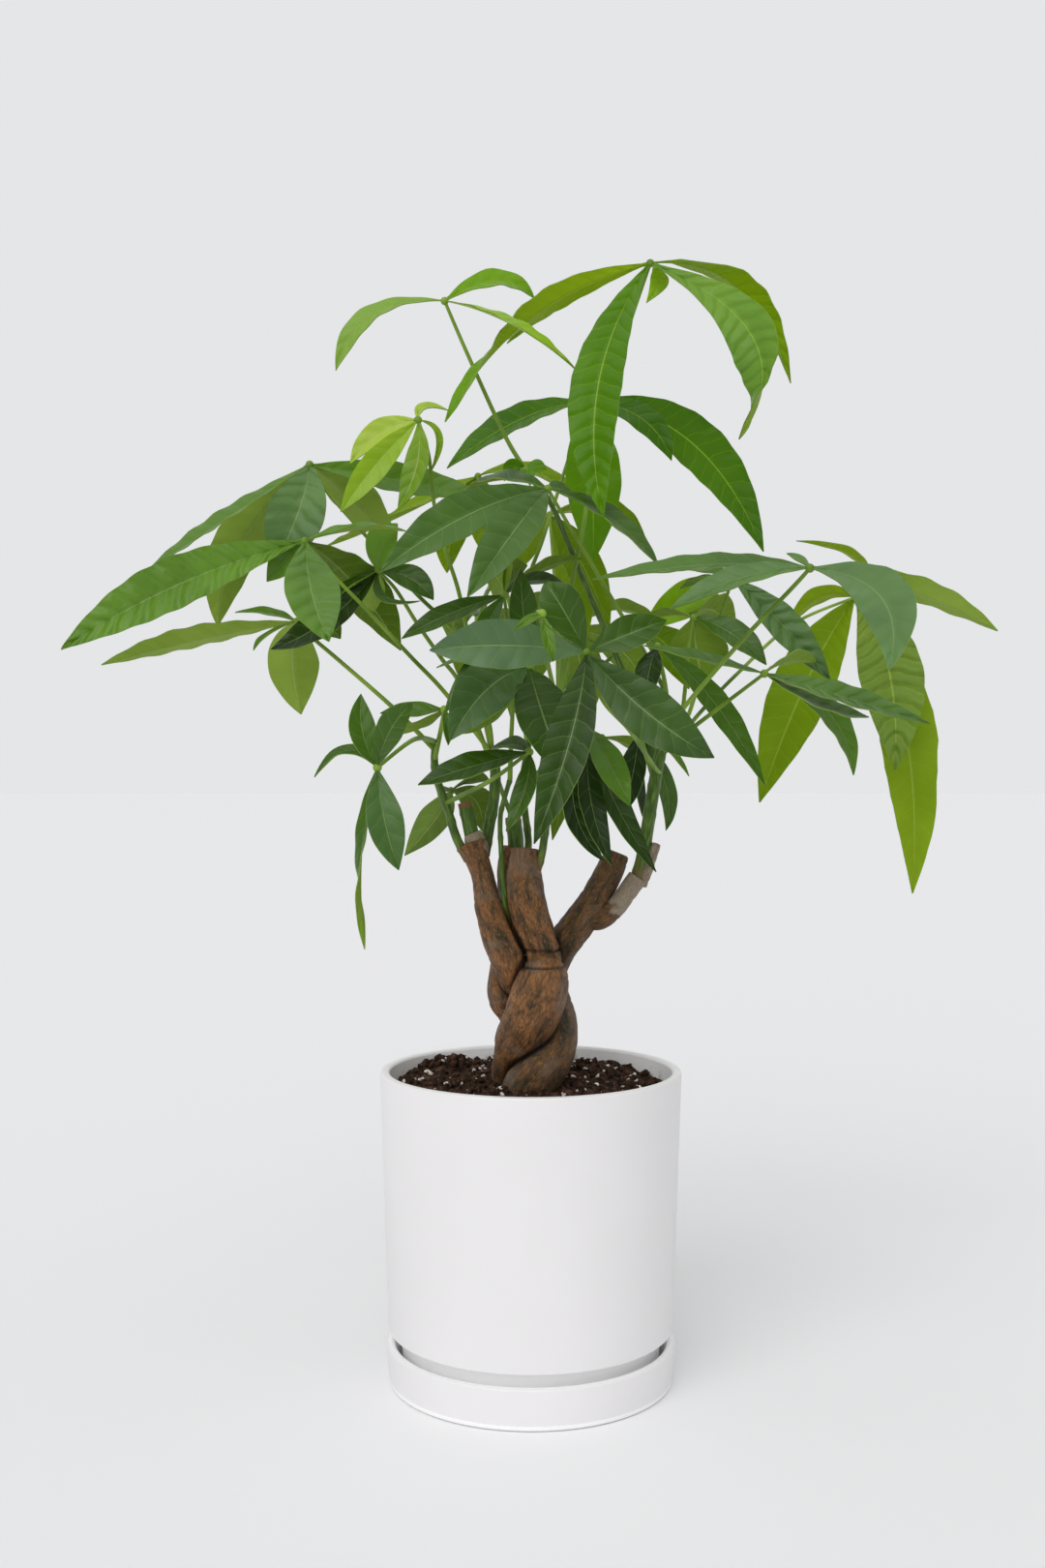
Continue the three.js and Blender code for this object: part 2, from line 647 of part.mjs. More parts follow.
// A smooth run through stations of [x, y, z, radius], as a share of the way from the first to the last
function along(stations, share) {
  const spans = stations.length - 1;
  const at = Math.min(share * spans, spans - 1e-6);
  const span = Math.floor(at);
  const t = at - span;
  const pick = (offset) => stations[Math.min(Math.max(span + offset, 0), spans)];
  const [p, a, b, n] = [pick(-1), pick(0), pick(1), pick(2)];
  return a.map((value, axis) => value + 0.5 * t * (
    b[axis] - p[axis]
    + t * (2 * p[axis] - 5 * value + 4 * b[axis] - n[axis])
    + t * t * (3 * (value - b[axis]) + n[axis] - p[axis])
  ));
}

function placed(station) {
  return [...seen(station).toArray(), station[3]];
}

// A round stem through stations, with its radius grown by the clearance where it cuts a neighbour
function stem(stations, sides, steps, grow = 0) {
  const rows = Array.from({ length: steps + 1 }, (_, step) => along(stations, step / steps));
  const centres = rows.map(([x, y, z]) => new THREE.Vector3(x, y, z));
  let across = new THREE.Vector3(1, 0, 0);
  const rings = centres.map((centre, step) => {
    const before = centres[Math.max(step - 1, 0)];
    const after = centres[Math.min(step + 1, steps)];
    const ahead = after.clone().sub(before).normalize();
    across = across.clone().addScaledVector(ahead, -across.dot(ahead)).normalize();
    const up = ahead.clone().cross(across);
    return Array.from({ length: sides }, (_, side) => {
      const angle = (2 * Math.PI * side) / sides;
      return centre.clone()
        .addScaledVector(across, (rows[step][3] + grow) * Math.cos(angle))
        .addScaledVector(up, (rows[step][3] + grow) * Math.sin(angle));
    });
  });
  return loft(rings);
}

// A profile of [radius, height] turned round the upright axis
const DISH_SEGMENTS = 36;
const SOIL_SEGMENTS = 24;

function latheGeometry(profile, segments) {
  const points = profile.map(([radius, height]) => new THREE.Vector2(radius, height));
  return new THREE.LatheGeometry(points, segments).rotateX(Math.PI / 2);
}

// The rounded top edge of a wall, from its outer to its inner face
function roundedTop(outer, inner, top, round) {
  return [
    [outer, top - round],
    [outer - 0.3 * round, top - 0.3 * round],
    [outer - round, top],
    [inner + round, top],
    [inner + 0.3 * round, top - 0.3 * round],
    [inner, top - round],
  ];
}

// Saucer: a shallow dish
const SAUCER_ROUND = 1.8;
const SAUCER_FILLET = 3;
const SAUCER_INNER_DRAFT = 1;

function makeSaucer() {
  const inner = SAUCER_RIM_RADIUS - SAUCER_WALL;
  const profile = [
    [0, 0],
    [SAUCER_BASE_RADIUS - SAUCER_ROUND, 0],
    [SAUCER_BASE_RADIUS, SAUCER_ROUND],
    ...roundedTop(SAUCER_RIM_RADIUS, inner, SAUCER_HEIGHT, SAUCER_ROUND),
    [inner - SAUCER_INNER_DRAFT, SAUCER_FLOOR + SAUCER_FILLET],
    [inner - SAUCER_INNER_DRAFT - SAUCER_FILLET, SAUCER_FLOOR],
    [0, SAUCER_FLOOR],
  ];
  return toSolid(latheGeometry(profile, DISH_SEGMENTS));
}

// Pot: a tapered cylinder on a recessed foot ring, with a drain hole in its floor
const POT_ROUND = 2.4;
const POT_FILLET = 5;
const POT_FOOT_HEIGHT = SAUCER_FLOOR + GAP;
const POT_FLOOR_TOP = POT_BASE_HEIGHT + POT_FLOOR_THICKNESS;
const POT_INNER_RIM = POT_RIM_RADIUS - POT_WALL;
const POT_INNER_BASE = POT_BASE_RADIUS - POT_WALL;

function makePot() {
  const profile = [
    [DRAIN_HOLE_RADIUS, POT_BASE_HEIGHT],
    [POT_FOOT_RADIUS - POT_FOOT_WALL, POT_BASE_HEIGHT],
    [POT_FOOT_RADIUS - POT_FOOT_WALL, POT_FOOT_HEIGHT],
    [POT_FOOT_RADIUS, POT_FOOT_HEIGHT],
    [POT_FOOT_RADIUS, POT_BASE_HEIGHT],
    [POT_BASE_RADIUS - SAUCER_ROUND, POT_BASE_HEIGHT],
    [POT_BASE_RADIUS, POT_BASE_HEIGHT + SAUCER_ROUND],
    ...roundedTop(POT_RIM_RADIUS, POT_INNER_RIM, POT_RIM_HEIGHT, POT_ROUND),
    [POT_INNER_BASE, POT_FLOOR_TOP + POT_FILLET],
    [POT_INNER_BASE - POT_FILLET, POT_FLOOR_TOP],
    [DRAIN_HOLE_RADIUS, POT_FLOOR_TOP],
    [DRAIN_HOLE_RADIUS, POT_BASE_HEIGHT],
  ];
  return toSolid(latheGeometry(profile, DISH_SEGMENTS));
}

// Soil: fills the pot up to the crumbly top, which climbs towards the back.
// Its mounds are given as [x, y, height, spread].
const SOIL_CLEARANCE = 2 * GAP;
const SOIL_SLOPE = 0.03;
const SOIL_MOUNDS = [[-50, 42, 7, 11.4], [36, 46, 4, 9], [0, 0, 2.5, 27]];
const SOIL_RINGS = [0.85, 0.68, 0.48, 0.28];
const SOIL_SHOULDER = 3;
const BROAD_RIPPLE = 1.3;
const SMALL_RIPPLE = 0.8;

function soilTop(x, y) {
  const broad = Math.sin(0.13 * x + 0.6) * Math.cos(0.11 * y - 0.4);
  const small = Math.sin(0.31 * x - 0.23 * y);
  const level = SOIL_HEIGHT + SOIL_SLOPE * y + BROAD_RIPPLE * broad + SMALL_RIPPLE * small;
  const mounds = SOIL_MOUNDS.map(([mx, my, height, spread]) => (
    height * Math.exp(-((x - mx) ** 2 + (y - my) ** 2) / (2 * spread ** 2))
  ));
  return mounds.reduce((sum, mound) => sum + mound, level);
}

// The soil's radius at a height, just inside the pot's tapered wall
function soilRadius(height) {
  const low = POT_FLOOR_TOP + POT_FILLET;
  const share = (height - low) / (POT_RIM_HEIGHT - POT_ROUND - low);
  return POT_INNER_BASE + (POT_INNER_RIM - POT_INNER_BASE) * share - SOIL_CLEARANCE;
}

function makeSoil(holes) {
  const edge = soilRadius(SOIL_HEIGHT - SOIL_SHOULDER);
  const profile = [
    [0, POT_FLOOR_TOP + GAP],
    [POT_INNER_BASE - POT_FILLET - SOIL_CLEARANCE, POT_FLOOR_TOP + GAP],
    [soilRadius(POT_FLOOR_TOP + POT_FILLET), POT_FLOOR_TOP + POT_FILLET + SOIL_CLEARANCE],
    [edge, SOIL_HEIGHT - SOIL_SHOULDER],
    ...SOIL_RINGS.map((share) => [edge * share, SOIL_HEIGHT]),
    [0, SOIL_HEIGHT],
  ];
  const geometry = latheGeometry(profile, SOIL_SEGMENTS);
  const position = geometry.attributes.position;
  for (let i = 0; i < position.count; i += 1) {
    if (position.getZ(i) > SOIL_HEIGHT - 1) {
      position.setZ(i, soilTop(position.getX(i), position.getY(i)));
    }
  }
  return holes.reduce((soil, hole) => soil.subtract(hole), toSolid(geometry));
}

// Trunk: where two stems of the braid press together, the one behind is hollowed to fit the other
const LIMB_SIDES = 10;
const LIMB_STEPS = 17;
const FORK_STEPS = 5;
const TWIG_SIDES = 6;
const TWIG_STEPS = 3;
const TRUNK_ORDER = ['trunk_centre', 'trunk_right', 'trunk_left', 'trunk_back'];

function limbBody(name, grow = 0) {
  const body = stem(LIMBS[name].map(placed), LIMB_SIDES, LIMB_STEPS, grow);
  if (name !== 'trunk_right') {
    return body;
  }
  return body
    .add(stem(GREY_BRANCH.map(placed), LIMB_SIDES, FORK_STEPS, grow))
    .add(stem(TWIG_STUB.map(placed), TWIG_SIDES, TWIG_STEPS, grow));
}

function makeTrunks() {
  TRUNK_ORDER.forEach((name, place) => {
    const before = TRUNK_ORDER.slice(0, place);
    const cut = before.reduce((body, other) => body.subtract(limbBody(other, GAP)), limbBody(name));
    addPiece(name, cut, material(0x6d4b2f, 0.85));
  });
}

// Shoots stand on the cut limbs and are cut clear of them
const SHOOT_SIDES = 6;

function shootBody(name, grow = 0) {
  return stem(SHOOTS[name].map(placed), SHOOT_SIDES, SHOOTS[name].length, grow);
}

const grownLimbs = Object.keys(LIMBS).map((name) => limbBody(name, GAP));
const grownShoots = Object.fromEntries(Object.keys(SHOOTS).map((name) => [name, shootBody(name, GAP)]));

function makeShoots() {
  Object.keys(SHOOTS).forEach((name) => {
    let body = grownLimbs.reduce((shoot, limb) => shoot.subtract(limb), shootBody(name));
    if (name === 'shoot_top') {
      body = body.subtract(grownShoots.shoot_right);
    }
    addPiece(name, body, material(0x2f5d23, 0.55));
  });
}

// Half width of a blade along its length, as a share of its greatest half width
const BLADE_ROOT = 0.09;
const BLADE_TIP = 0.03;

function outline(t) {
  return Math.max(Math.sin(Math.PI * t ** 1.12) ** 0.9, t < 0.5 ? BLADE_ROOT : BLADE_TIP);
}

// Leaflet: a thin blade folded a little along its midrib, on a curve from the hub through its mid point
const LONG_BLADE = 60;
const SHORT_BLADE = 30;
const LONG_STATIONS = [0, 0.14, 0.34, 0.56, 0.78, 1];
const MIDDLE_STATIONS = [0, 0.2, 0.5, 0.78, 1];
const SHORT_STATIONS = [0, 0.3, 0.66, 1];

function bladeStations(length) {
  if (length > LONG_BLADE) {
    return LONG_STATIONS;
  }
  return length > SHORT_BLADE ? MIDDLE_STATIONS : SHORT_STATIONS;
}

function leaflet(hub, { mid, tip, width, turn, twist = 0 }) {
  const start = seen(hub);
  const middle = seen(mid);
  const end = seen(tip);
  const pull = middle.clone().multiplyScalar(2).addScaledVector(start, -0.5).addScaledVector(end, -0.5);
  const curve = new THREE.QuadraticBezierCurve3(start, pull, end);
  const chord = end.clone().sub(start).normalize();
  const eye = new THREE.Vector3(SIGHT.x, -SIGHT.distance, SIGHT.z);
  const facing = eye.sub(middle).normalize();
  facing.addScaledVector(chord, -facing.dot(chord)).normalize();
  const skyward = chord.clone().cross(facing);
  if (skyward.z < 0) {
    skyward.negate();
  }
  const tilt = THREE.MathUtils.degToRad(turn);
  const normal = facing.multiplyScalar(Math.cos(tilt)).addScaledVector(skyward, Math.sin(tilt));
  const fold = THREE.MathUtils.degToRad(BLADE_FOLD);
  const rings = bladeStations(start.distanceTo(end)).map((t) => {
    const ahead = curve.getTangent(t);
    const up = normal.clone().addScaledVector(ahead, -normal.dot(ahead)).normalize();
    up.applyAxisAngle(ahead, THREE.MathUtils.degToRad(twist) * t * t);
    const side = ahead.clone().cross(up);
    const reach = (width / 2) * outline(t);
    const centre = curve.getPoint(t);
    const point = (share, lift) => centre.clone()
      .addScaledVector(side, share * reach * Math.cos(fold))
      .addScaledVector(up, Math.abs(share) * reach * Math.sin(fold) + lift * BLADE_THICKNESS);
    return [point(-1, 0), point(0, 0.5), point(1, 0), point(0, -0.5)];
  });
  return loft(rings, 2);
}

// Leaf: petiole, hub and leaflets in one piece, cut clear of the shoot that bears it
const PETIOLE_SIDES = 4;

function leafBody({ shoot, at, path, hub, leaflets }) {
  const [x, y, z] = along(SHOOTS[shoot].map(placed), at);
  const route = [[x, y, z, PETIOLE_RADIUS], ...[...path, hub].map((place) => placed([...place, PETIOLE_RADIUS]))];
  const petiole = stem(route, PETIOLE_SIDES, route.length + 1);
  const knot = new THREE.OctahedronGeometry(HUB_RADIUS, 0).translate(...seen(hub).toArray());
  const blades = leaflets.map((entry) => leaflet(hub, entry));
  const whole = blades.reduce((body, blade) => body.add(blade), petiole.add(toSolid(knot)));
  return whole.subtract(grownShoots[shoot]);
}

addPiece('saucer', makeSaucer(), material(0xf1efec, 0.35));
addPiece('pot', makePot(), material(0xf1efec, 0.35));
addPiece('soil', makeSoil(grownLimbs), material(0x2b1d15, 0.95));
makeTrunks();
makeShoots();
LEAVES.forEach((leaf) => {
  addPiece(leaf.name, leafBody(leaf), material(LEAF_COLOURS[leaf.tone], 0.4));
});

export default plant;
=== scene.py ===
# %% [markdown]
# # A potted money tree, dressed for the camera
#
# The plant is a braided trunk of four stems, with green shoots that stand on the cut stems and palmate
# leaves on long petioles. It grows in a white stoneware cylinder that stands in a shallow saucer.
# The solids are loaded first as a fixed frame. Every piece made here lies on its own solid and stands for it.

import math
import random

import bpy
import numpy as np
from mathutils import Matrix, Vector, noise


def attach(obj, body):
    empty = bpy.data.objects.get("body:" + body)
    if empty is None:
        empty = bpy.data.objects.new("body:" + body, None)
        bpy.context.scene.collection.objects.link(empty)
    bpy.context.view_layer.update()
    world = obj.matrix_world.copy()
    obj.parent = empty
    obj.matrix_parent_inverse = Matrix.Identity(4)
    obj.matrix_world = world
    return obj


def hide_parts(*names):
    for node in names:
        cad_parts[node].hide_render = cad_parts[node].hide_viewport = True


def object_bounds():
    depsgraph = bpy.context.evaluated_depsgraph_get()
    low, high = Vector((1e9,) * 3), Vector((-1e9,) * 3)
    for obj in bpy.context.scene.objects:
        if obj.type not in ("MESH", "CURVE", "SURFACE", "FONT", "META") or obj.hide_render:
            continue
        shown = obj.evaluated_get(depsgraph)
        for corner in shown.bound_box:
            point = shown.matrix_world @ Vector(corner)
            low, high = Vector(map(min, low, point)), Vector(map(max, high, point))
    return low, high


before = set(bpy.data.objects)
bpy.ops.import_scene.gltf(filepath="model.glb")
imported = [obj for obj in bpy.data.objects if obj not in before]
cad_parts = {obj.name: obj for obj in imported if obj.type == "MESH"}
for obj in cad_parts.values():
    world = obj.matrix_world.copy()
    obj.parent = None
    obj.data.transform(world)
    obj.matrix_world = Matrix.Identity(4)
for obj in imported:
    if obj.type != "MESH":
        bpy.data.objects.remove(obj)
cad_low, cad_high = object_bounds()
bpy.ops.object.select_all(action="DESELECT")
print("solids loaded:", len(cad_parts))

# %% [markdown]
# ## Where things are
#
# A plant has no drawing, so its places are given as they are seen from the front, in a frame 1080 wide and
# 1620 high, with a depth in millimetres behind the upright plane through the pot's axis. One function
# turns such a place into metres. The same numbers place the solids, so each piece meets its solid.

# %% From the view to the room
FRAME_WIDTH = 1080
FRAME_HEIGHT = 1620
FOCUS = 1630
EYE_X = -4.9
EYE_DISTANCE = 935
EYE_HEIGHT = 350
MM = 0.001


def seen(place):
    """The point in metres that is seen at [across, down] and lies at that depth."""
    across, down, depth = place[:3]
    scale = (EYE_DISTANCE + depth) / FOCUS
    x = EYE_X + (across - FRAME_WIDTH / 2) * scale
    z = EYE_HEIGHT + (FRAME_HEIGHT / 2 - down) * scale
    return np.array([x, depth, z]) * MM


print("middle of the frame:", seen((540, 810, 0)))

# %% [markdown]
# ## Small helpers
#
# A colour is written as the hex value that a paint chart gives, and the renderer wants linear light, so one
# function converts it. Another adds a node with its values, links and settings in one call and gives its
# output, so the next call can take it in. That keeps the node trees below short enough to read. Four of the
# plainer finishes are one noise over a ramp of colours, so they share a function.

# %% Colour and nodes
MIXED = {"out": 2, "data_type": "RGBA"}
MULTIPLIED = {**MIXED, "blend_type": "MULTIPLY"}
SMOOTHLY = {"interpolation_type": "SMOOTHSTEP"}


def linear(hex_colour):
    """A colour's linear red, green, blue and alpha from its sRGB hex value."""
    values = [int(hex_colour[i:i + 2], 16) / 255 for i in (1, 3, 5)]
    return tuple(v / 12.92 if v <= 0.04045 else ((v + 0.055) / 1.055) ** 2.4 for v in values) + (1,)


def add_node(material, kind, inputs=(), out=0, stops=(), **settings):
    """Adds a node and gives its output. An input takes a number, a hex colour or another node's output.
    Stops are the positions and hex colours of a colour ramp."""
    node = material.node_tree.nodes.new("ShaderNode" + kind)
    for key, value in settings.items():
        setattr(node, key, value)
    for key, value in dict(inputs).items():
        if isinstance(value, bpy.types.NodeSocket):
            material.node_tree.links.new(value, node.inputs[key])
        else:
            node.inputs[key].default_value = linear(value) if isinstance(value, str) else value
    for index, (position, colour) in enumerate(stops):
        elements = node.color_ramp.elements
        element = elements[index] if index < 2 else elements.new(position)
        element.position = position
        element.color = linear(colour)
    return node.outputs[out]


def new_material(name, colour, values):
    """A material with its one colour, and its shader with those values on its own sockets."""
    material = bpy.data.materials.new(name)
    material.use_nodes = True
    material.diffuse_color = linear(colour)
    shader = material.node_tree.nodes["Principled BSDF"]
    for key, value in {"Base Color": linear(colour), "IOR": 1.45, **values}.items():
        shader.inputs[key].default_value = value
    return material, shader


def connect(output, shader, socket):
    """Links an output to one of the shader's sockets."""
    shader.id_data.links.new(output, shader.inputs[socket])


def mottled(name, colour, values, scale, detail, stops, bump=()):
    """A material that a noise mottles. Bump is the strength and depth of the relief from the same noise."""
    material, shader = new_material(name, colour, values)
    place = add_node(material, "TexCoord", out="Object")
    mottle = add_node(material, "TexNoise", {"Vector": place, "Scale": scale, "Detail": detail})
    connect(add_node(material, "ValToRGB", {"Fac": mottle}, stops=stops), shader, "Base Color")
    if bump:
        relief = add_node(material, "Bump", {"Height": mottle, "Strength": bump[0], "Distance": bump[1]})
        connect(relief, shader, "Normal")
    return material


print("pot white in linear light:", [round(v, 3) for v in linear("#f2f0f1")])

# %% Objects and their vertices
SHARP = math.radians(50)


def finish_piece(piece, name):
    """Names a piece, puts its place into its mesh and lets it ride on the part."""
    bpy.ops.object.select_all(action="DESELECT")
    bpy.context.view_layer.objects.active = piece
    piece.select_set(True)
    bpy.ops.object.transform_apply(location=True, rotation=True, scale=True)
    piece.select_set(False)
    piece.name = name
    piece.data.name = name
    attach(piece, "root")


def corners(piece):
    """The piece's vertices as rows of x, y and z."""
    rows = np.zeros(len(piece.data.vertices) * 3)
    piece.data.vertices.foreach_get("co", rows)
    return rows.reshape(-1, 3)


def put_corners(piece, rows):
    """Moves the piece's vertices to those rows."""
    piece.data.vertices.foreach_set("co", np.asarray(rows, float).ravel())
    piece.data.update()


def mark(piece, name, values):
    """Keeps a number on each vertex, for the materials to read."""
    attribute = piece.data.attributes.new(name, "FLOAT", "POINT")
    attribute.data.foreach_set("value", np.asarray(values, np.float32))


def paint(piece, *skins):
    """Gives the piece its materials, in the order of its slots."""
    for skin in skins:
        piece.data.materials.append(skin)


def apply_modifier(piece, kind, **settings):
    """Adds a modifier, sets it and applies it."""
    bpy.context.view_layer.objects.active = piece
    modifier = piece.modifiers.new(kind.title(), kind)
    for key, value in settings.items():
        setattr(modifier, key, value)
    bpy.ops.object.modifier_apply(modifier=modifier.name)


def pick_faces(piece, wanted):
    """In edit mode, selects the faces for which wanted(face) is true, and nothing else."""
    bpy.ops.mesh.select_mode(type="FACE")
    bpy.ops.mesh.select_all(action="DESELECT")
    bpy.ops.object.mode_set(mode="OBJECT")
    for face in piece.data.polygons:
        face.select = wanted(face)
    bpy.ops.object.mode_set(mode="EDIT")


def join(pieces):
    """Joins pieces into the first."""
    bpy.ops.object.select_all(action="DESELECT")
    for piece in pieces:
        piece.select_set(True)
    bpy.context.view_layer.objects.active = pieces[0]
    if len(pieces) > 1:
        bpy.ops.object.join()
    pieces[0].select_set(False)
    return pieces[0]


# %% [markdown]
# ## Glazed stoneware
#
# The pot and saucer are slip-cast stoneware with a satin white glaze. Satin means that highlights are broad
# and soft, so the roughness is about 0.35. A cast wall is never dead flat, so a faint bump with a
# wavelength of about 60 mm bends the highlights a little. The glaze is wiped from the foot before firing,
# which leaves a line of bare buff clay round the saucer's lower edge. The recessed foot ring under the pot is
# painted a darker grey as painted shade, and the inside is painted pure white as painted light, brighter than
# the glaze outside. Potting has left faint brown marks on the inner wall just above the soil.
# Each of these is a layer over the glaze, and a mask made from the height and the distance from the pot's
# axis says where it shows.

# %% The glaze, the bare foot and the marks above the soil
FOOT_RING_EDGE = 76.8 * MM
INNER_WALL_EDGE = 83.8 * MM
SOIL_LINE = 170 * MM
SMUDGE_FULL = 2 * MM
SMUDGE_NONE = 8.5 * MM

stoneware, shader = new_material("satin glazed stoneware", "#f5f3f4", {
    "Roughness": 0.36, "IOR": 1.5, "Specular IOR Level": 0.4, "Coat Weight": 0.08, "Coat Roughness": 0.3,
})
place = add_node(stoneware, "TexCoord", out="Object")
tone = add_node(stoneware, "TexNoise", {"Vector": place, "Scale": 9, "Detail": 3})
colour = add_node(stoneware, "ValToRGB", {"Fac": tone}, stops=[(0.3, "#edebec"), (0.7, "#f2f0f1")])
height = add_node(stoneware, "SeparateXYZ", {"Vector": place}, out="Z")
level = add_node(stoneware, "Mapping", {"Vector": place, "Scale": (1, 1, 0)})
reach = add_node(stoneware, "VectorMath", {0: level}, out="Value", operation="LENGTH")
# Painted shade: the recessed foot ring is painted a darker grey, for the shade in the gap between pot and
# saucer.
foot_ring_shade = add_node(stoneware, "Math", {0: reach, 1: FOOT_RING_EDGE}, operation="LESS_THAN")
inside = add_node(stoneware, "Math", {0: reach, 1: INNER_WALL_EDGE}, operation="LESS_THAN")
ragged = add_node(stoneware, "TexNoise", {"Vector": place, "Scale": 120, "Detail": 2})
wiped = add_node(stoneware, "Math", {0: ragged, 1: 0.8 * MM, 2: 0.9 * MM}, operation="MULTIPLY_ADD")
bare = add_node(stoneware, "Math", {0: height, 1: wiped}, operation="LESS_THAN")
off_soil = add_node(stoneware, "Math", {0: height, 1: SOIL_LINE}, operation="SUBTRACT")
gap = add_node(stoneware, "Math", {0: off_soil}, operation="ABSOLUTE")
band = add_node(stoneware, "MapRange", {0: gap, 1: SMUDGE_FULL, 2: SMUDGE_NONE, 3: 1.0, 4: 0.0})
dirt_and_crease_shade = add_node(stoneware, "TexNoise", {"Vector": place, "Scale": 120, "Detail": 6, "Roughness": 0.7})
spots = add_node(stoneware, "MapRange", {0: dirt_and_crease_shade, 1: 0.56, 2: 0.66, 3: 0.0, 4: 0.7})
low_spots = add_node(stoneware, "Math", {0: spots, 1: band}, operation="MULTIPLY")
smudge = add_node(stoneware, "Math", {0: low_spots, 1: inside}, operation="MULTIPLY")
# Painted light: the inside of the pot is pure white, brighter than the glaze outside, to lift its shaded
# wall.
for mask, layer in ((foot_ring_shade, "#bdb3b0"), (bare, "#c8ad84"), (inside, "#ffffff"), (smudge, "#6b5a4c")):
    colour = add_node(stoneware, "Mix", {"Factor": mask, 6: colour, 7: layer}, **MIXED)
connect(colour, shader, "Base Color")
wall = add_node(stoneware, "TexNoise", {"Vector": place, "Scale": 16, "Detail": 1})
ripple = add_node(stoneware, "Bump", {"Height": wall, "Strength": 0.05, "Distance": 2 * MM})
connect(ripple, shader, "Normal")
print("stoneware nodes:", len(stoneware.node_tree.nodes))

# %% [markdown]
# ## The saucer
#
# A shallow dish, cast in one piece. It starts as a cylinder whose top is inset by the wall and pushed down to
# the floor. A bevel rounds the rim and the foot, and catches the thin highlight that shows the edge.

# %% Saucer
SAUCER_BASE_RADIUS = 83.6 * MM
SAUCER_RIM_RADIUS = 85.2 * MM
SAUCER_HEIGHT = 23.5 * MM
SAUCER_WALL = 5 * MM
SAUCER_FLOOR = 6 * MM
SAUCER_FLOOR_SHARE = 0.965
ROUND = 144
EDGE_BEVEL = 1.7 * MM


def flat_top(level):
    """Picks faces that lie at that height."""
    return lambda face: abs(face.center.z - level) < 1e-5 and abs(face.normal.z) > 0.9


def dish(base_radius, rim_radius, low, high):
    """A closed cylinder that widens from its base to its rim, in edit mode with its top selected."""
    bpy.ops.mesh.primitive_cylinder_add(
        vertices=ROUND, radius=base_radius, depth=high - low, location=(0, 0, (low + high) / 2),
    )
    piece = bpy.context.active_object
    bpy.ops.object.transform_apply(location=True, rotation=True, scale=True)
    bpy.ops.object.mode_set(mode="EDIT")
    pick_faces(piece, flat_top(high))
    grow = rim_radius / base_radius
    bpy.ops.transform.resize(value=(grow, grow, 1), center_override=(0, 0, high))
    return piece


def inset_and_push(inset, rise):
    """Insets the selected faces and pushes them up or down."""
    bpy.ops.mesh.inset(thickness=inset)
    bpy.ops.mesh.extrude_region_move(TRANSFORM_OT_translate={"value": (0, 0, rise)})


def glaze(piece):
    """Leaves edit mode, rounds the edges and gives the piece its glaze."""
    bpy.ops.object.mode_set(mode="OBJECT")
    apply_modifier(
        piece, "BEVEL", width=EDGE_BEVEL, segments=5, limit_method="ANGLE", angle_limit=math.radians(40),
    )
    bpy.ops.object.shade_smooth_by_angle(angle=math.radians(30))
    paint(piece, stoneware)


saucer = dish(SAUCER_BASE_RADIUS, SAUCER_RIM_RADIUS, 0, SAUCER_HEIGHT)
inset_and_push(SAUCER_WALL, SAUCER_FLOOR - SAUCER_HEIGHT)
bpy.ops.transform.resize(
    value=(SAUCER_FLOOR_SHARE, SAUCER_FLOOR_SHARE, 1), center_override=(0, 0, SAUCER_FLOOR),
)
glaze(saucer)
finish_piece(saucer, "saucer_dish")
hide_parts("saucer")
print("saucer:", len(saucer.data.polygons), "faces")

# %% [markdown]
# ## The pot
#
# A straight cylinder would look stiff: the real one tapers by about 5 mm to its base and stands on a recessed
# foot ring, which leaves the dark line between pot and saucer, deepened by painted shade on the foot ring.
# The same steps as for the saucer shape the inside, and insets on the underside draw the foot ring. Bridging
# two small faces opens the drain hole.

# %% Pot
POT_RIM_RADIUS = 89 * MM
POT_RIM_HEIGHT = 181.4 * MM
POT_BASE_RADIUS = 83.9 * MM
POT_BASE_HEIGHT = 30.5 * MM
POT_WALL = 5.6 * MM
POT_FOOT_RADIUS = 76 * MM
POT_FOOT_WALL = 6 * MM
POT_FOOT_HEIGHT = 6.3 * MM
POT_FLOOR_TOP = 37.5 * MM
DRAIN_HOLE_RADIUS = 8 * MM

pot = dish(POT_BASE_RADIUS, POT_RIM_RADIUS, POT_BASE_HEIGHT, POT_RIM_HEIGHT)
inset_and_push(POT_WALL, POT_FLOOR_TOP - POT_RIM_HEIGHT)
taper = (POT_BASE_RADIUS - POT_WALL) / (POT_RIM_RADIUS - POT_WALL)
bpy.ops.transform.resize(value=(taper, taper, 1), center_override=(0, 0, POT_FLOOR_TOP))
bpy.ops.mesh.inset(thickness=POT_BASE_RADIUS - POT_WALL - DRAIN_HOLE_RADIUS)

pick_faces(pot, flat_top(POT_BASE_HEIGHT))
inset_and_push(POT_BASE_RADIUS - POT_FOOT_RADIUS, POT_FOOT_HEIGHT - POT_BASE_HEIGHT)
inset_and_push(POT_FOOT_WALL, POT_BASE_HEIGHT - POT_FOOT_HEIGHT)
bpy.ops.mesh.inset(thickness=POT_FOOT_RADIUS - POT_FOOT_WALL - DRAIN_HOLE_RADIUS)
pick_faces(pot, lambda face: face.center.xy.length < MM and len(face.vertices) == ROUND)
bpy.ops.mesh.bridge_edge_loops()
glaze(pot)
finish_piece(pot, "pot_cylinder")
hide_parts("pot")
print("pot:", len(pot.data.polygons), "faces")

# %% [markdown]
# ## Potting mix
#
# Damp peat and bark fines are nearly black brown and quite matt, with white perlite, a puffed volcanic glass,
# in grains of 1 to 4 mm. A noise with a 4 mm wavelength mottles the mix, and a strong bump gives its crumbs.

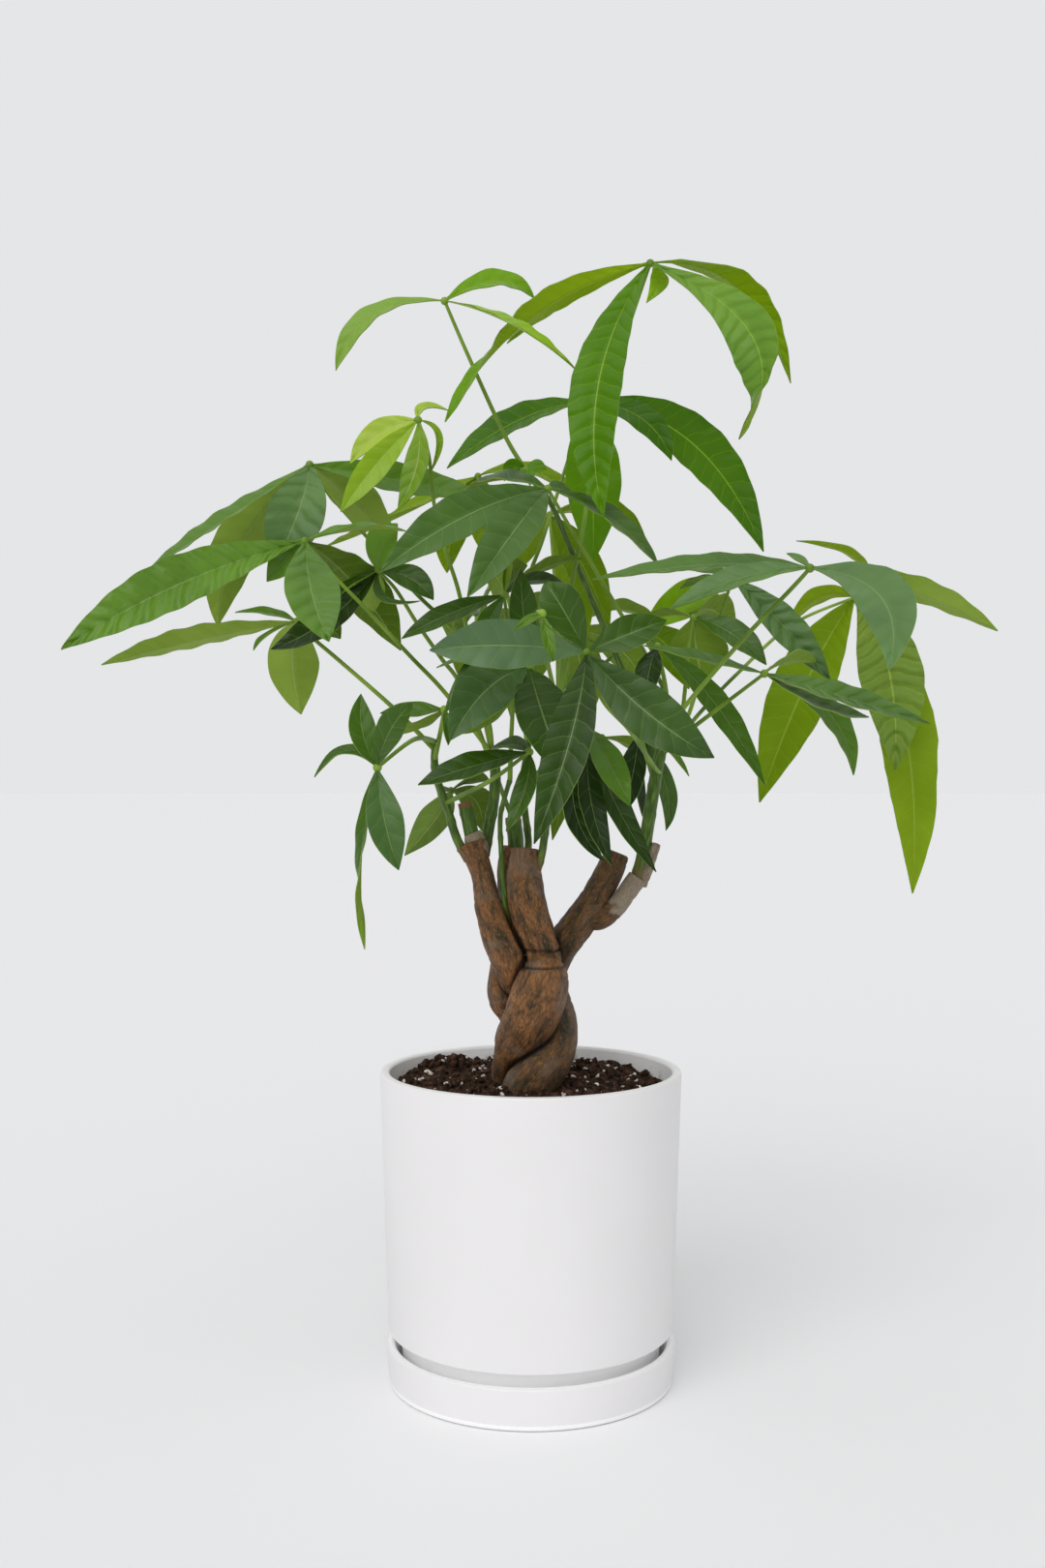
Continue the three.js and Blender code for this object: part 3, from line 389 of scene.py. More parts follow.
# %% Potting mix and perlite
potting_mix = mottled(
    "damp potting mix", "#35251b", {"Roughness": 0.92, "Specular IOR Level": 0.2}, 260, 6,
    [(0.3, "#170d07"), (0.5, "#37261b"), (0.72, "#66493a")], bump=(0.9, 3 * MM),
)
perlite = mottled("perlite", "#d9d3ca", {"Roughness": 0.85}, 420, 2, [(0.35, "#b5aa9c"), (0.6, "#f1ece4")])
print("mix and perlite ready")

# %% [markdown]
# ## The soil
#
# The soil fills the pot to about 9 mm below its rim, is mounded round the trunk and climbs towards the back
# left, where a clump stands up to the rim. Its top is inset again and again, which gives rings of faces,
# and the rings are then lifted by the same slopes as the solid, with finer crumbs from a noise.

# %% Soil body
SOIL_HEIGHT = 172
SOIL_RADIUS = 82.1 * MM
SOIL_LOW_RADIUS = 77.7 * MM
SOIL_LOW = 38 * MM
RINGS = 46
SOIL_SLOPE = 0.03
BROAD_RIPPLE = 1.3
SMALL_RIPPLE = 0.8
CRUMB_HEIGHT = 2.0
CRUMB_SINK = 0.8
CRUMBS_PER_MM = 0.32
SOIL_MOUNDS = [(-50, 42, 7.5, 11.4), (36, 46, 4, 9), (0, 0, 2.5, 27), (70, 20, -3.5, 16)]


def soil_top(x, y):
    """The height in mm of the soil's top at x and y in mm. A mound is its x, y, height and spread."""
    broad = math.sin(0.13 * x + 0.6) * math.cos(0.11 * y - 0.4)
    small = math.sin(0.31 * x - 0.23 * y)
    height = SOIL_HEIGHT + SOIL_SLOPE * y + BROAD_RIPPLE * broad + SMALL_RIPPLE * small
    for mound_x, mound_y, rise, spread in SOIL_MOUNDS:
        height += rise * math.exp(-((x - mound_x) ** 2 + (y - mound_y) ** 2) / (2 * spread ** 2))
    return height


soil = dish(SOIL_LOW_RADIUS, SOIL_RADIUS, SOIL_LOW, SOIL_HEIGHT * MM)
for ring in range(RINGS):
    bpy.ops.mesh.inset(thickness=SOIL_RADIUS / (RINGS + 1))
bpy.ops.mesh.poke()
bpy.ops.object.mode_set(mode="OBJECT")
rows = corners(soil)
for row in rows:
    if row[2] > SOIL_LOW + MM:
        x, y = row[0] / MM, row[1] / MM
        crumb = noise.fractal(Vector((x, y, 4)) * CRUMBS_PER_MM, 0.7, 2.1, 4)
        row[2] = (soil_top(x, y) + CRUMB_HEIGHT * crumb - CRUMB_SINK) * MM
put_corners(soil, rows)
bpy.ops.object.shade_smooth_by_angle(angle=SHARP)
paint(soil, potting_mix)
finish_piece(soil, "soil_body")
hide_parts("soil")
print("soil:", len(soil.data.polygons), "faces")

# %% [markdown]
# ## Crumbs and perlite
#
# Loose crumbs break the soil's outline and cast the small shadows that make it read as soil. Three lumps of
# 80 faces are modelled from icospheres, and each copy is turned, sized and squashed by a seeded draw. A noise
# with an 11 mm wavelength gathers them in clusters, because mix that is poured and watered sorts itself.

# %% Crumbs and perlite grains
TRUNK_CLEAR = 12
STREWN_RADIUS = 80
CLUSTER = 11
CROWD = 0.5
CROWD_CHANGE = 0.9
LUMPS = 3
LUMP_RELIEF = 0.55
LUMP_DETAIL = 1.5
SETTLED = 0.6


def lump(seed):
    """One rough lump, 1 mm in radius."""
    bpy.ops.mesh.primitive_ico_sphere_add(subdivisions=2, radius=MM)
    piece = bpy.context.active_object
    rows = corners(piece)
    for row in rows:
        row *= 1 + LUMP_RELIEF * noise.noise(Vector(row / MM * LUMP_DETAIL) + Vector((seed, 0, 0)))
    put_corners(piece, rows)
    return piece


def strew(name, count, seed, sizes, material, sink):
    """Copies the lumps over the soil's top and joins the copies."""
    draw = random.Random(seed)
    lumps = [lump(seed + kind) for kind in range(LUMPS)]
    shapes = [corners(piece) for piece in lumps]
    faces = [[tuple(face.vertices) for face in piece.data.polygons] for piece in lumps]
    all_rows = []
    all_faces = []
    while len(all_rows) < count:
        angle = draw.uniform(0, 2 * math.pi)
        out = STREWN_RADIUS * math.sqrt(draw.random())
        x, y = out * math.cos(angle), out * math.sin(angle)
        crowd = CROWD + CROWD_CHANGE * noise.noise(Vector((x, y, seed)) / CLUSTER)
        if math.hypot(x, y) < TRUNK_CLEAR or draw.random() > crowd:
            continue
        kind = draw.randrange(LUMPS)
        size = sizes[0] + (sizes[1] - sizes[0]) * draw.random() ** 2
        turn = Vector((draw.random(), draw.random(), draw.random())).normalized()
        spin = np.array(Matrix.Rotation(draw.uniform(0, 2 * math.pi), 3, turn))
        squash = np.array([1, draw.uniform(0.5, 1), draw.uniform(0.35, 0.9)])
        middle = np.array([x, y, soil_top(x, y) - SETTLED + sink * size]) * MM
        all_faces += [tuple(i + len(all_rows) * len(shapes[0]) for i in face) for face in faces[kind]]
        all_rows.append((shapes[kind] * squash * size) @ spin.T + middle)
    mesh = bpy.data.meshes.new(name)
    mesh.from_pydata(np.concatenate(all_rows).tolist(), [], all_faces)
    piece = bpy.data.objects.new(name, mesh)
    bpy.context.collection.objects.link(piece)
    for master in lumps:
        bpy.data.objects.remove(master)
    paint(piece, material)
    for face in mesh.polygons:
        face.use_smooth = True
    finish_piece(piece, name)
    return len(mesh.polygons)


print("crumbs:", strew("soil_crumbs", 1500, 5, (0.7, 3.2), potting_mix, 0.25), "faces")
print("perlite:", strew("soil_perlite", 300, 11, (0.4, 2.1), perlite, 0.35), "faces")

# %% [markdown]
# ## Bark
#
# The bark of this tree is thin, warm brown and finely crackled along the stem. Blotches about 17 mm long run
# from orange brown to a dark, mossy brown, with orange flecks where the skin has split and a grey bloom on
# the older side. The stems twist, so the pattern follows each stem by its own UV map, which is laid out in
# millimetres: fibres about 0.5 mm wide and 2.6 mm long, and cracks round plates of 1 by 3.6 mm whose edges
# waver. Two attributes come with the mesh: the creases between stems and the collar grooves are painted
# darker, as painted shade, and a weathered stem fades to grey.
# Handled bark has a slight shine, so the roughness is about 0.5.

# %% Bark, weathered bark and cut wood
CREASE = "crease"
WEATHER = "weather"


def bark_material(name, tones, fleck, bloom, crack):
    """Crackled bark from its mossy, warm and light tones, how grey its bloom and how pale its cracks are."""
    material, shader = new_material(name, tones[1], {"Roughness": 0.52, "Specular IOR Level": 0.5})
    along_stem = add_node(material, "UVMap")
    place = add_node(material, "TexCoord", out="Object")

    def stretched(width, length):
        """The stem's own coordinates for a pattern that wide round the stem and that long along it, in mm."""
        return add_node(material, "Mapping", {"Vector": along_stem, "Scale": (1 / width, 1 / length, 1)})

    blotches = add_node(material, "TexNoise", {
        "Vector": stretched(6, 17), "Scale": 1.0, "Detail": 9, "Roughness": 0.76, "Distortion": 0.4,
    })
    colour = add_node(material, "ValToRGB", {"Fac": blotches}, stops=zip((0.4, 0.5, 0.63), tones))
    fibres = add_node(material, "TexNoise", {
        "Vector": stretched(0.45, 2.6), "Scale": 1.0, "Detail": 7, "Roughness": 0.75, "Distortion": 0.5,
    })
    fibre_tone = add_node(material, "MapRange", {0: fibres, 1: 0.3, 2: 0.7, 3: 0.35, 4: 1.7})
    straight = stretched(1.0, 3.6)
    bent = fibres.node.outputs["Color"]
    wavering = add_node(material, "Mix", {"Factor": 0.35, 4: straight, 5: bent}, out=1, data_type="VECTOR")
    plates = add_node(material, "TexVoronoi", {"Vector": wavering, "Scale": 1.0}, feature="DISTANCE_TO_EDGE")
    crack_tone = add_node(material, "MapRange", {0: plates, 1: 0.0, 2: 0.12, 3: crack, 4: 1.04})
    shade = add_node(material, "Math", {0: fibre_tone, 1: crack_tone}, operation="MULTIPLY")
    colour = add_node(material, "Mix", {"Factor": 1.0, 6: colour, 7: shade}, **MULTIPLIED)
    splits = add_node(material, "TexNoise", {"Vector": stretched(1.6, 2.8), "Scale": 1.0, "Detail": 6})
    split = add_node(material, "MapRange", {0: splits, 1: 0.6, 2: 0.68, 3: 0.0, 4: 0.5})
    grey = add_node(material, "TexNoise", {"Vector": place, "Scale": 52, "Detail": 6})
    grey_share = add_node(material, "MapRange", {0: grey, 1: 0.54, 2: 0.7, 3: 0.0, 4: bloom})
    weather = add_node(material, "Attribute", out="Fac", attribute_name=WEATHER)
    pale = add_node(material, "Mix", {"Factor": 0.45, 6: "#a3937d", 7: shade}, **MULTIPLIED)
    for mask, layer in ((split, fleck), (grey_share, "#94897a"), (weather, pale)):
        colour = add_node(material, "Mix", {"Factor": mask, 6: colour, 7: layer}, **MIXED)
    # Painted shade: the creases between the stems and the collar grooves are darkened in the colour.
    crease = add_node(material, "Attribute", out="Fac", attribute_name=CREASE)
    dirt_and_crease_shade = add_node(material, "MapRange", {0: crease, 1: 0.0, 2: 1.0, 3: 1.0, 4: 0.16})
    colour = add_node(material, "Mix", {"Factor": 1.0, 6: colour, 7: dirt_and_crease_shade}, **MULTIPLIED)
    connect(colour, shader, "Base Color")
    furrows = add_node(material, "Bump", {"Height": shade, "Strength": 0.6, "Distance": 0.9 * MM})
    knobs = {"Height": splits, "Strength": 0.5, "Distance": 1.6 * MM, "Normal": furrows}
    connect(add_node(material, "Bump", knobs), shader, "Normal")
    return material


bark = bark_material("crackled bark", ("#433620", "#845b34", "#a87241"), "#be844a", 0.35, 0.5)
mossy_bark = bark_material("mossy bark", ("#38331a", "#684a2a", "#896136"), "#ab7840", 0.3, 0.5)
grey_bark = bark_material("weathered bark", ("#76664f", "#9c8a73", "#b5a48d"), "#8a6444", 0.5, 0.75)

cut_wood = mottled(
    "callused cut", "#8d6b4c", {"Roughness": 0.85}, 500, 4,
    [(0.3, "#4a2f1d"), (0.55, "#80593b"), (0.75, "#b08a66")], bump=(0.7, MM),
)
print("bark materials ready")

# %% [markdown]
# ## A stem
#
# Every stem, from the trunk's limbs to a petiole, is a tube that changes width along a bent line. It starts
# as a flat grid: one side of the grid becomes the way along the stem and the other the way round. Rolled up,
# its two long edges are merged, and the open ends are filled. The line is a smooth run through stations of
# [across, down, depth, radius], the same run that shapes the solids.

# %% The smooth run and the tube


def unit(vector):
    """The vector at length 1."""
    return vector / np.linalg.norm(vector)


def along(stations, share):
    """A smooth run through stations, as a share of the way from the first to the last."""
    spans = len(stations) - 1
    at = min(share * spans, spans - 1e-6)
    span = int(at)
    t = at - span
    p, a, b, n = (stations[min(max(span + k, 0), spans)] for k in (-1, 0, 1, 2))
    return a + 0.5 * t * (b - p + t * (2 * p - 5 * a + 4 * b - n + t * (3 * (a - b) + n - p)))


def placed(stations):
    """Stations in metres, each with its radius."""
    return [np.append(seen(station), station[3] * MM) for station in stations]


def plain(turn, share, length):
    """No relief."""
    return 0


def tube(stations, sides, steps, relief=plain):
    """A closed tube through stations in metres. Its UV map is in millimetres: round it, then along it."""
    rows = np.array([along(stations, step / steps) for step in range(steps + 1)])
    centres = rows[:, :3]
    ahead = np.gradient(centres, axis=0)
    ahead /= np.linalg.norm(ahead, axis=1)[:, None]
    lengths = np.append(0, np.cumsum(np.linalg.norm(np.diff(centres, axis=0), axis=1)))
    across = []
    side = np.array([1.0, 0, 0])
    for direction in ahead:
        side = side - side @ direction * direction
        side /= np.linalg.norm(side)
        across.append(side)
    up = np.cross(ahead, across)

    bpy.ops.mesh.primitive_grid_add(x_subdivisions=sides, y_subdivisions=steps, size=1)
    piece = bpy.context.active_object
    points = []
    for x, y, _ in corners(piece):
        step = round((y + 0.5) * steps)
        turn = 2 * math.pi * (x + 0.5)
        radius = rows[step][3] + relief(turn, step / steps, lengths[step] / MM) * MM
        points.append(centres[step] + radius * (math.cos(turn) * across[step] + math.sin(turn) * up[step]))
    put_corners(piece, points)
    girth = 2 * math.pi * float(rows[:, 3].mean()) / MM
    for loop in piece.data.uv_layers[0].data:
        step = min(round(loop.uv.y * steps), steps)
        loop.uv = (loop.uv.x * girth, lengths[step] / MM)
    bpy.ops.object.mode_set(mode="EDIT")
    bpy.ops.mesh.select_all(action="SELECT")
    bpy.ops.mesh.remove_doubles(threshold=1e-6)
    bpy.ops.mesh.fill_holes(sides=0)
    bpy.ops.mesh.select_all(action="SELECT")
    bpy.ops.mesh.normals_make_consistent(inside=False)
    bpy.ops.object.mode_set(mode="OBJECT")
    bpy.ops.object.shade_smooth_by_angle(angle=SHARP)
    return piece


print("half way along three stations:", along([np.array([0.0]), np.array([1.0]), np.array([2.0])], 0.5))

# %% [markdown]
# ## The braided trunk
#
# Four young trees were plaited when their stems were soft, and have thickened until they press together. The
# stations below follow each stem from its cut top down into the soil. Where two press together each is drawn
# in a little, which leaves the crease between them. The relief adds low swellings, ridges that wind slowly
# round the stem, and the ring scars of old leaves. Two collars cross the middle stem as level grooves.

# %% Trunk stations: across, down, depth, radius
LIMBS = {
    "trunk_left": [
        (488, 873, 2, 9.8), (492, 884, 1, 7.6), (498, 903, 0, 6.8), (502, 922, 0, 7.4),
        (507, 943, -2, 8.8), (515, 968, -6, 10.4), (525, 989, -9, 11), (531, 1006, -8, 10),
        (536, 1022, 1, 9.6), (539, 1045, 10, 10.5), (546, 1070, 15, 12), (556, 1100, 15, 12.5),
        (556, 1132, 10, 11.5), (552, 1166, 5, 9),
    ],
    "trunk_centre": [
        (543, 878, -2, 8.9), (542, 895, -3, 10), (542, 912, -3, 11), (546, 940, -5, 11.8),
        (553, 964, -7, 11.6), (559, 979, -9, 10.8), (560, 984, -9, 11), (561, 994, -10, 11),
        (562, 999, -12, 11.4), (562, 1009, -16, 14.8), (558, 1026, -20, 16.4), (549, 1050, -20, 16.2),
        (538, 1072, -15, 14.2), (529, 1092, -6, 11.6), (527, 1112, 2, 11), (532, 1134, 6, 10.8),
        (540, 1166, 8, 9.5),
    ],
    "trunk_right": [
        (638, 882, -2, 7), (633, 894, -2, 8.2), (622, 915, -1, 8.8), (612, 934, 0, 9.4),
        (600, 951, 1, 9.8), (587, 968, 4, 10.2), (576, 984, 9, 10.2), (568, 1000, 14, 10.8),
        (565, 1018, 15, 12), (569, 1038, 11, 13), (573, 1058, 2, 13.8), (571, 1080, -8, 14.6),
        (561, 1100, -15, 15.4), (547, 1120, -16, 15), (538, 1144, -12, 13), (534, 1172, -8, 11),
    ],
    "trunk_back": [
        (533, 877, 12, 8.2), (529, 896, 12, 8.8), (530, 930, 12, 8.6), (532, 960, 11, 8.8),
        (527, 985, 8, 9.8), (523, 1008, 5, 10.8), (524, 1030, 4, 11.2), (533, 1053, 1, 9.4),
        (530, 1076, -2, 11.4), (531, 1099, -2, 11.6), (538, 1126, 2, 10.4), (545, 1162, 3, 9),
    ],
}
GREY_BRANCH = [
    (604, 950, 0, 6), (621, 948, -2, 7.2), (636, 937, -4, 6.3), (648, 922, -5, 5.9), (659, 907, -5, 6),
]
TWIG_STUB = [(662, 914, -5, 4), (671, 893, -6, 3.3), (678, 872, -7, 3)]
print("limbs:", len(LIMBS))

# %% Trunk limbs
LIMB_SIDES = 56
LIMB_STEPS = 170
COLLARS = ((559, 981, -9), (562, 996.5, -11))
COLLAR_WIDTH = 0.75
CREASE_WIDTH = 1.4
CREASE_DEPTH = 1.1
SWELLING = 0.55
RIDGE = 0.28
KNOB = 0.25
RING_DEPTH = 0.35
RING_WIDTH = 0.8
RING_WAVER = 2
RING_PLACE = 3
BARK_SINK = 0.15
CUT_RIM = 1.2 * MM
CUT_DOME = 0.6


def bark_relief(seed, ring_every):
    """How far in mm the bark stands out or in, round and along a limb."""
    def relief(turn, share, length):
        round_stem = Vector((math.cos(turn), math.sin(turn), 0))
        swelling = SWELLING * noise.noise(round_stem * 0.8 + Vector((seed, 0, length / 14)))
        ridges = RIDGE * noise.noise(round_stem * 3.2 + Vector((0, seed, length / 22)))
        knobs = KNOB * noise.noise(round_stem * 2.4 + Vector((seed, seed, length / 4)))
        off_ring = (length + RING_WAVER * noise.noise(round_stem * 1.2)) % ring_every - RING_PLACE
        ring = -RING_DEPTH * math.exp(-(off_ring / RING_WIDTH) ** 2)
        return swelling + ridges + knobs + ring - BARK_SINK
    return relief


def cut_ends(piece, inset):
    """Rounds the rim of a limb's flat ends and gives them the look of a healed cut."""
    bpy.context.view_layer.objects.active = piece
    bpy.ops.object.mode_set(mode="EDIT")
    pick_faces(piece, lambda face: len(face.vertices) > 4)
    bpy.ops.mesh.inset(thickness=inset, use_individual=True)
    bpy.ops.object.mode_set(mode="OBJECT")
    for face in piece.data.polygons:
        if len(face.vertices) > 4:
            face.material_index = 1
            for corner in face.vertices:
                piece.data.vertices[corner].co += face.normal * inset * CUT_DOME


def gap_to_neighbours(points, name):
    """How far in mm each point lies outside the nearest of the other stems of the braid."""
    gap = np.full(len(points), 1000.0)
    for other, stations in LIMBS.items():
        if other != name:
            line = placed(stations)
            rows = np.array([along(line, share) for share in np.linspace(0, 1, LIMB_STEPS)])
            reach = np.linalg.norm(points[:, None] - rows[None, :, :3], axis=2) - rows[:, 3]
            gap = np.minimum(gap, reach.min(axis=1) / MM)
    return gap


def press(piece, name, collars):
    """Draws a stem in where it meets its neighbours and at its collars, and marks those creases."""
    points = corners(piece)
    crease = np.exp(-(np.maximum(gap_to_neighbours(points, name), 0) / CREASE_WIDTH) ** 2)
    for collar in collars:
        groove = np.exp(-((points[:, 2] - seen(collar)[2]) / MM / COLLAR_WIDTH) ** 2)
        crease = np.maximum(crease, groove)
    normals = np.zeros(len(points) * 3)
    piece.data.vertices.foreach_get("normal", normals)
    put_corners(piece, points - normals.reshape(-1, 3) * (CREASE_DEPTH * MM * crease)[:, None])
    mark(piece, CREASE, crease)


def make_limb(name, seed, ring_every, skin, collars=()):
    """One stem of the braid. A collar is a place that a level groove round the stem passes."""
    piece = tube(placed(LIMBS[name]), LIMB_SIDES, LIMB_STEPS, bark_relief(seed, ring_every))
    press(piece, name, collars)
    paint(piece, skin, cut_wood)
    cut_ends(piece, CUT_RIM)
    return piece


for name, seed, ring_every, collars in (
    ("trunk_left", 3, 31, ()), ("trunk_centre", 7, 37, COLLARS), ("trunk_back", 12, 29, ()),
):
    limb = make_limb(name, seed, ring_every, bark, collars)
    finish_piece(limb, name + "_limb")
    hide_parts(name)
print("creases are", CREASE_DEPTH, "mm deep")

# %% [markdown]
# ## The grey fork
#
# The right stem forks into a side branch whose bark has weathered to grey, and that bears the stub of a cut
# twig. The branch starts in the stem's own bark and fades to grey along a ragged line.

# %% The right limb and its grey fork
GREY_FROM = 0.4
GREY_BLEND = 0.08
GREY_RAGGED = 0.12
RAGGED_EVERY = 4 * MM
FORK_RIM = 0.7 * MM

right =make_limb("trunk_right", 17, 26, mossy_bark)
fork = tube(placed(GREY_BRANCH), 40, 60, bark_relief(21, 14))
twig = tube(placed(TWIG_STUB), 24, 30, bark_relief(25, 11))
root, end = seen(GREY_BRANCH[0]), seen(GREY_BRANCH[-1])
for piece, skin in ((fork, mossy_bark), (twig, grey_bark)):
    paint(piece, skin, cut_wood)
    cut_ends(piece, FORK_RIM)
points = corners(fork)
share = (points - root) @ (end - root) / ((end - root) @ (end - root))
share += [GREY_RAGGED * noise.noise(Vector(point) / RAGGED_EVERY) for point in points]
mark(fork, WEATHER, np.clip((share - GREY_FROM) / GREY_BLEND, 0, 1))
right = join([right, fork, twig])
finish_piece(right, "trunk_right_limb")
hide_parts("trunk_right")
print("right limb with its fork:", len(right.data.polygons), "faces")

# %% [markdown]
# ## Green shoots
#
# New shoots break from below each cut. Their skin is green and smooth, with darker streaks and a low swelling
# at every node, where a leaf has dropped. Near the root, and at the cut tip of three of them, the skin is
# already turning to bark, which the mesh keeps on each vertex as its age.

# %% Shoot skin
AGE = "age"

shoot_skin, shader = new_material("young green stem", "#3f5420", {"Roughness": 0.45})
stem_place = add_node(shoot_skin, "UVMap")
streak_place = add_node(shoot_skin, "Mapping", {"Vector": stem_place, "Scale": (0.9, 0.12, 1)})
streaks = add_node(shoot_skin, "TexNoise", {"Vector": streak_place, "Scale": 1.0, "Detail": 4})
greens = add_node(shoot_skin, "ValToRGB", {"Fac": streaks}, stops=[
    (0.3, "#2f4a10"), (0.55, "#4c6a1c"), (0.75, "#74903a"),
])
age = add_node(shoot_skin, "Attribute", out="Fac", attribute_name=AGE)
woody = add_node(shoot_skin, "Mix", {"Factor": age, 6: greens, 7: "#7a5433"}, **MIXED)
connect(woody, shader, "Base Color")
skin_relief = add_node(shoot_skin, "Bump", {"Height": streaks, "Strength": 0.35, "Distance": 0.6 * MM})
connect(skin_relief, shader, "Normal")
print("shoot skin ready")

# %% Shoot stations: across, down, depth, radius
SHOOTS = {
    "shoot_left": [
        (484, 889, 0, 2.9), (472, 866, -1, 2.8), (463, 838, -2, 2.7), (452, 806, -4, 2.5),
        (449, 786, -5, 2.4), (450, 766, -6, 2.3),
    ],
    "shoot_left_stub": [(493, 882, 2, 4.9), (488, 864, 1, 4.6), (484, 846, 0, 4.4), (480, 829, 0, 4.2)],
    "shoot_middle": [
        (500, 884, 8, 3.8), (505, 856, 9, 3.6), (510, 828, 8, 3.5), (512, 800, 7, 3.4), (508, 771, 6, 3.5),
    ],
    "shoot_front": [
        (527, 962, 6, 1.9), (523, 940, -2, 1.9), (520, 915, -5, 1.8), (518, 880, -5, 1.7),
        (517, 846, -6, 1.6), (521, 826, -6, 1.6), (527, 806, -7, 1.6),
    ],
    "shoot_back": [(533, 892, 12, 4.8), (533, 868, 13, 5), (530, 844, 13, 4.8)],
    "shoot_rear": [
        (540, 896, 16, 2.4), (546, 874, 23, 2.4), (543, 842, 25, 2.3), (540, 812, 23, 2.2),
        (544, 780, 20, 2.1), (550, 746, 18, 2), (556, 708, 15, 1.9),
    ],
    "shoot_centre": [
        (554, 903, -4, 2.6), (560, 882, -8, 2.5), (564, 856, -9, 2.4), (570, 826, -9, 2.3),
        (575, 798, -8, 2.3), (578, 770, -6, 2.2), (577, 740, -4, 2.2),
    ],
    "shoot_right": [
        (657, 914, -5, 4.3), (664, 886, -5, 4.1), (670, 850, -5, 4), (676, 812, -5, 3.9),
        (683, 777, -5, 3.6), (697, 743, -5, 3.2),
    ],
    "shoot_top": [
        (690, 759, 2, 2.3), (668, 733, 10, 2.1), (647, 700, 14, 2), (624, 648, 14, 1.9),
        (597, 585, 10, 1.8), (569, 520, 2, 1.7), (545, 492, -4, 1.6),
    ],
}
WOODY_FROM = {"shoot_middle": 0.93, "shoot_left_stub": 0.9, "shoot_back": 0.88}
CALLUS = [(496, 886, 2, 5.6), (494, 877, 2, 6.9), (491, 868, 1, 6.6), (488, 861, 1, 5.2)]
print("shoots:", len(SHOOTS))

# %% Shoots
ROOT_AGE = 0.75
ROOT_SHARE = 0.1
WOODY_BLEND = 0.03
SHOOT_SIDES = 20
SHOOT_STEPS = 16
NODE_EVERY = 17
NODE_RISE = 0.3
NODE_WIDTH = 1.6
SKIN_RELIEF = 0.12


def node_relief(seed):
    """Small swellings at the nodes of a shoot."""
    def relief(turn, share, length):
        node = NODE_RISE * math.exp(-((length % NODE_EVERY - NODE_EVERY // 2) / NODE_WIDTH) ** 2)
        round_stem = Vector((math.cos(turn), math.sin(turn) + seed, length / 6))
        return node + SKIN_RELIEF * noise.noise(round_stem) - BARK_SINK
    return relief


for number, (name, stations) in enumerate(SHOOTS.items()):
    line = placed(stations)
    shoot = tube(line, SHOOT_SIDES, SHOOT_STEPS * (len(stations) - 1), node_relief(number))
    root, end = line[0][:3], line[-1][:3]
    share = np.clip((corners(shoot) - root) @ (end - root) / np.linalg.norm(end - root) ** 2, 0, 1)
    ages = ROOT_AGE * np.exp(-(share / ROOT_SHARE) ** 2)
    if name in WOODY_FROM:
        ages = np.maximum(ages, np.clip((share - WOODY_FROM[name]) / WOODY_BLEND, 0, 1))
    mark(shoot, AGE, ages)
    paint(shoot, shoot_skin)
    if name == "shoot_left_stub":
        callus = tube(placed(CALLUS), 28, 18, bark_relief(40, 7))
        paint(callus, grey_bark)
        shoot = join([shoot, callus])
    finish_piece(shoot, name + "_stem")
    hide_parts(name)
print("shoots made:", len(SHOOTS))

# %% [markdown]
# ## Leaf blades
#
# A leaflet of this tree is thin and waxy. Its upper face is a deep green with a pale sheen, a light midrib
# and side veins every 9 or 10 mm that run forward to the margin. The blade is puckered between them. The
# under face is paler and matt. Seen against the light, and when young, the blade glows yellow green, so a
# little of the light that enters is scattered inside it. The backlit leaves are also given a brighter
# yellow-green base colour, which paints the light shining through them.
# The pattern follows each leaflet by its own UV map: along it in steps of one side vein, and across it from 0
# at one margin to 1 at the other. Each leaflet also carries three measures: a tint, so that no two match and
# also to paint it lit or in shade, how strongly it is quilted, and how much painted sheen, a grey-blue
# painted reflection, greys it.

# %% Leaf blade finishes
TINT_AND_LIGHT = "tint_and_light"
QUILT = "quilt"
PAINTED_SHEEN = "painted_sheen"
PAINTED_SHEEN_GREY = "#64796f"


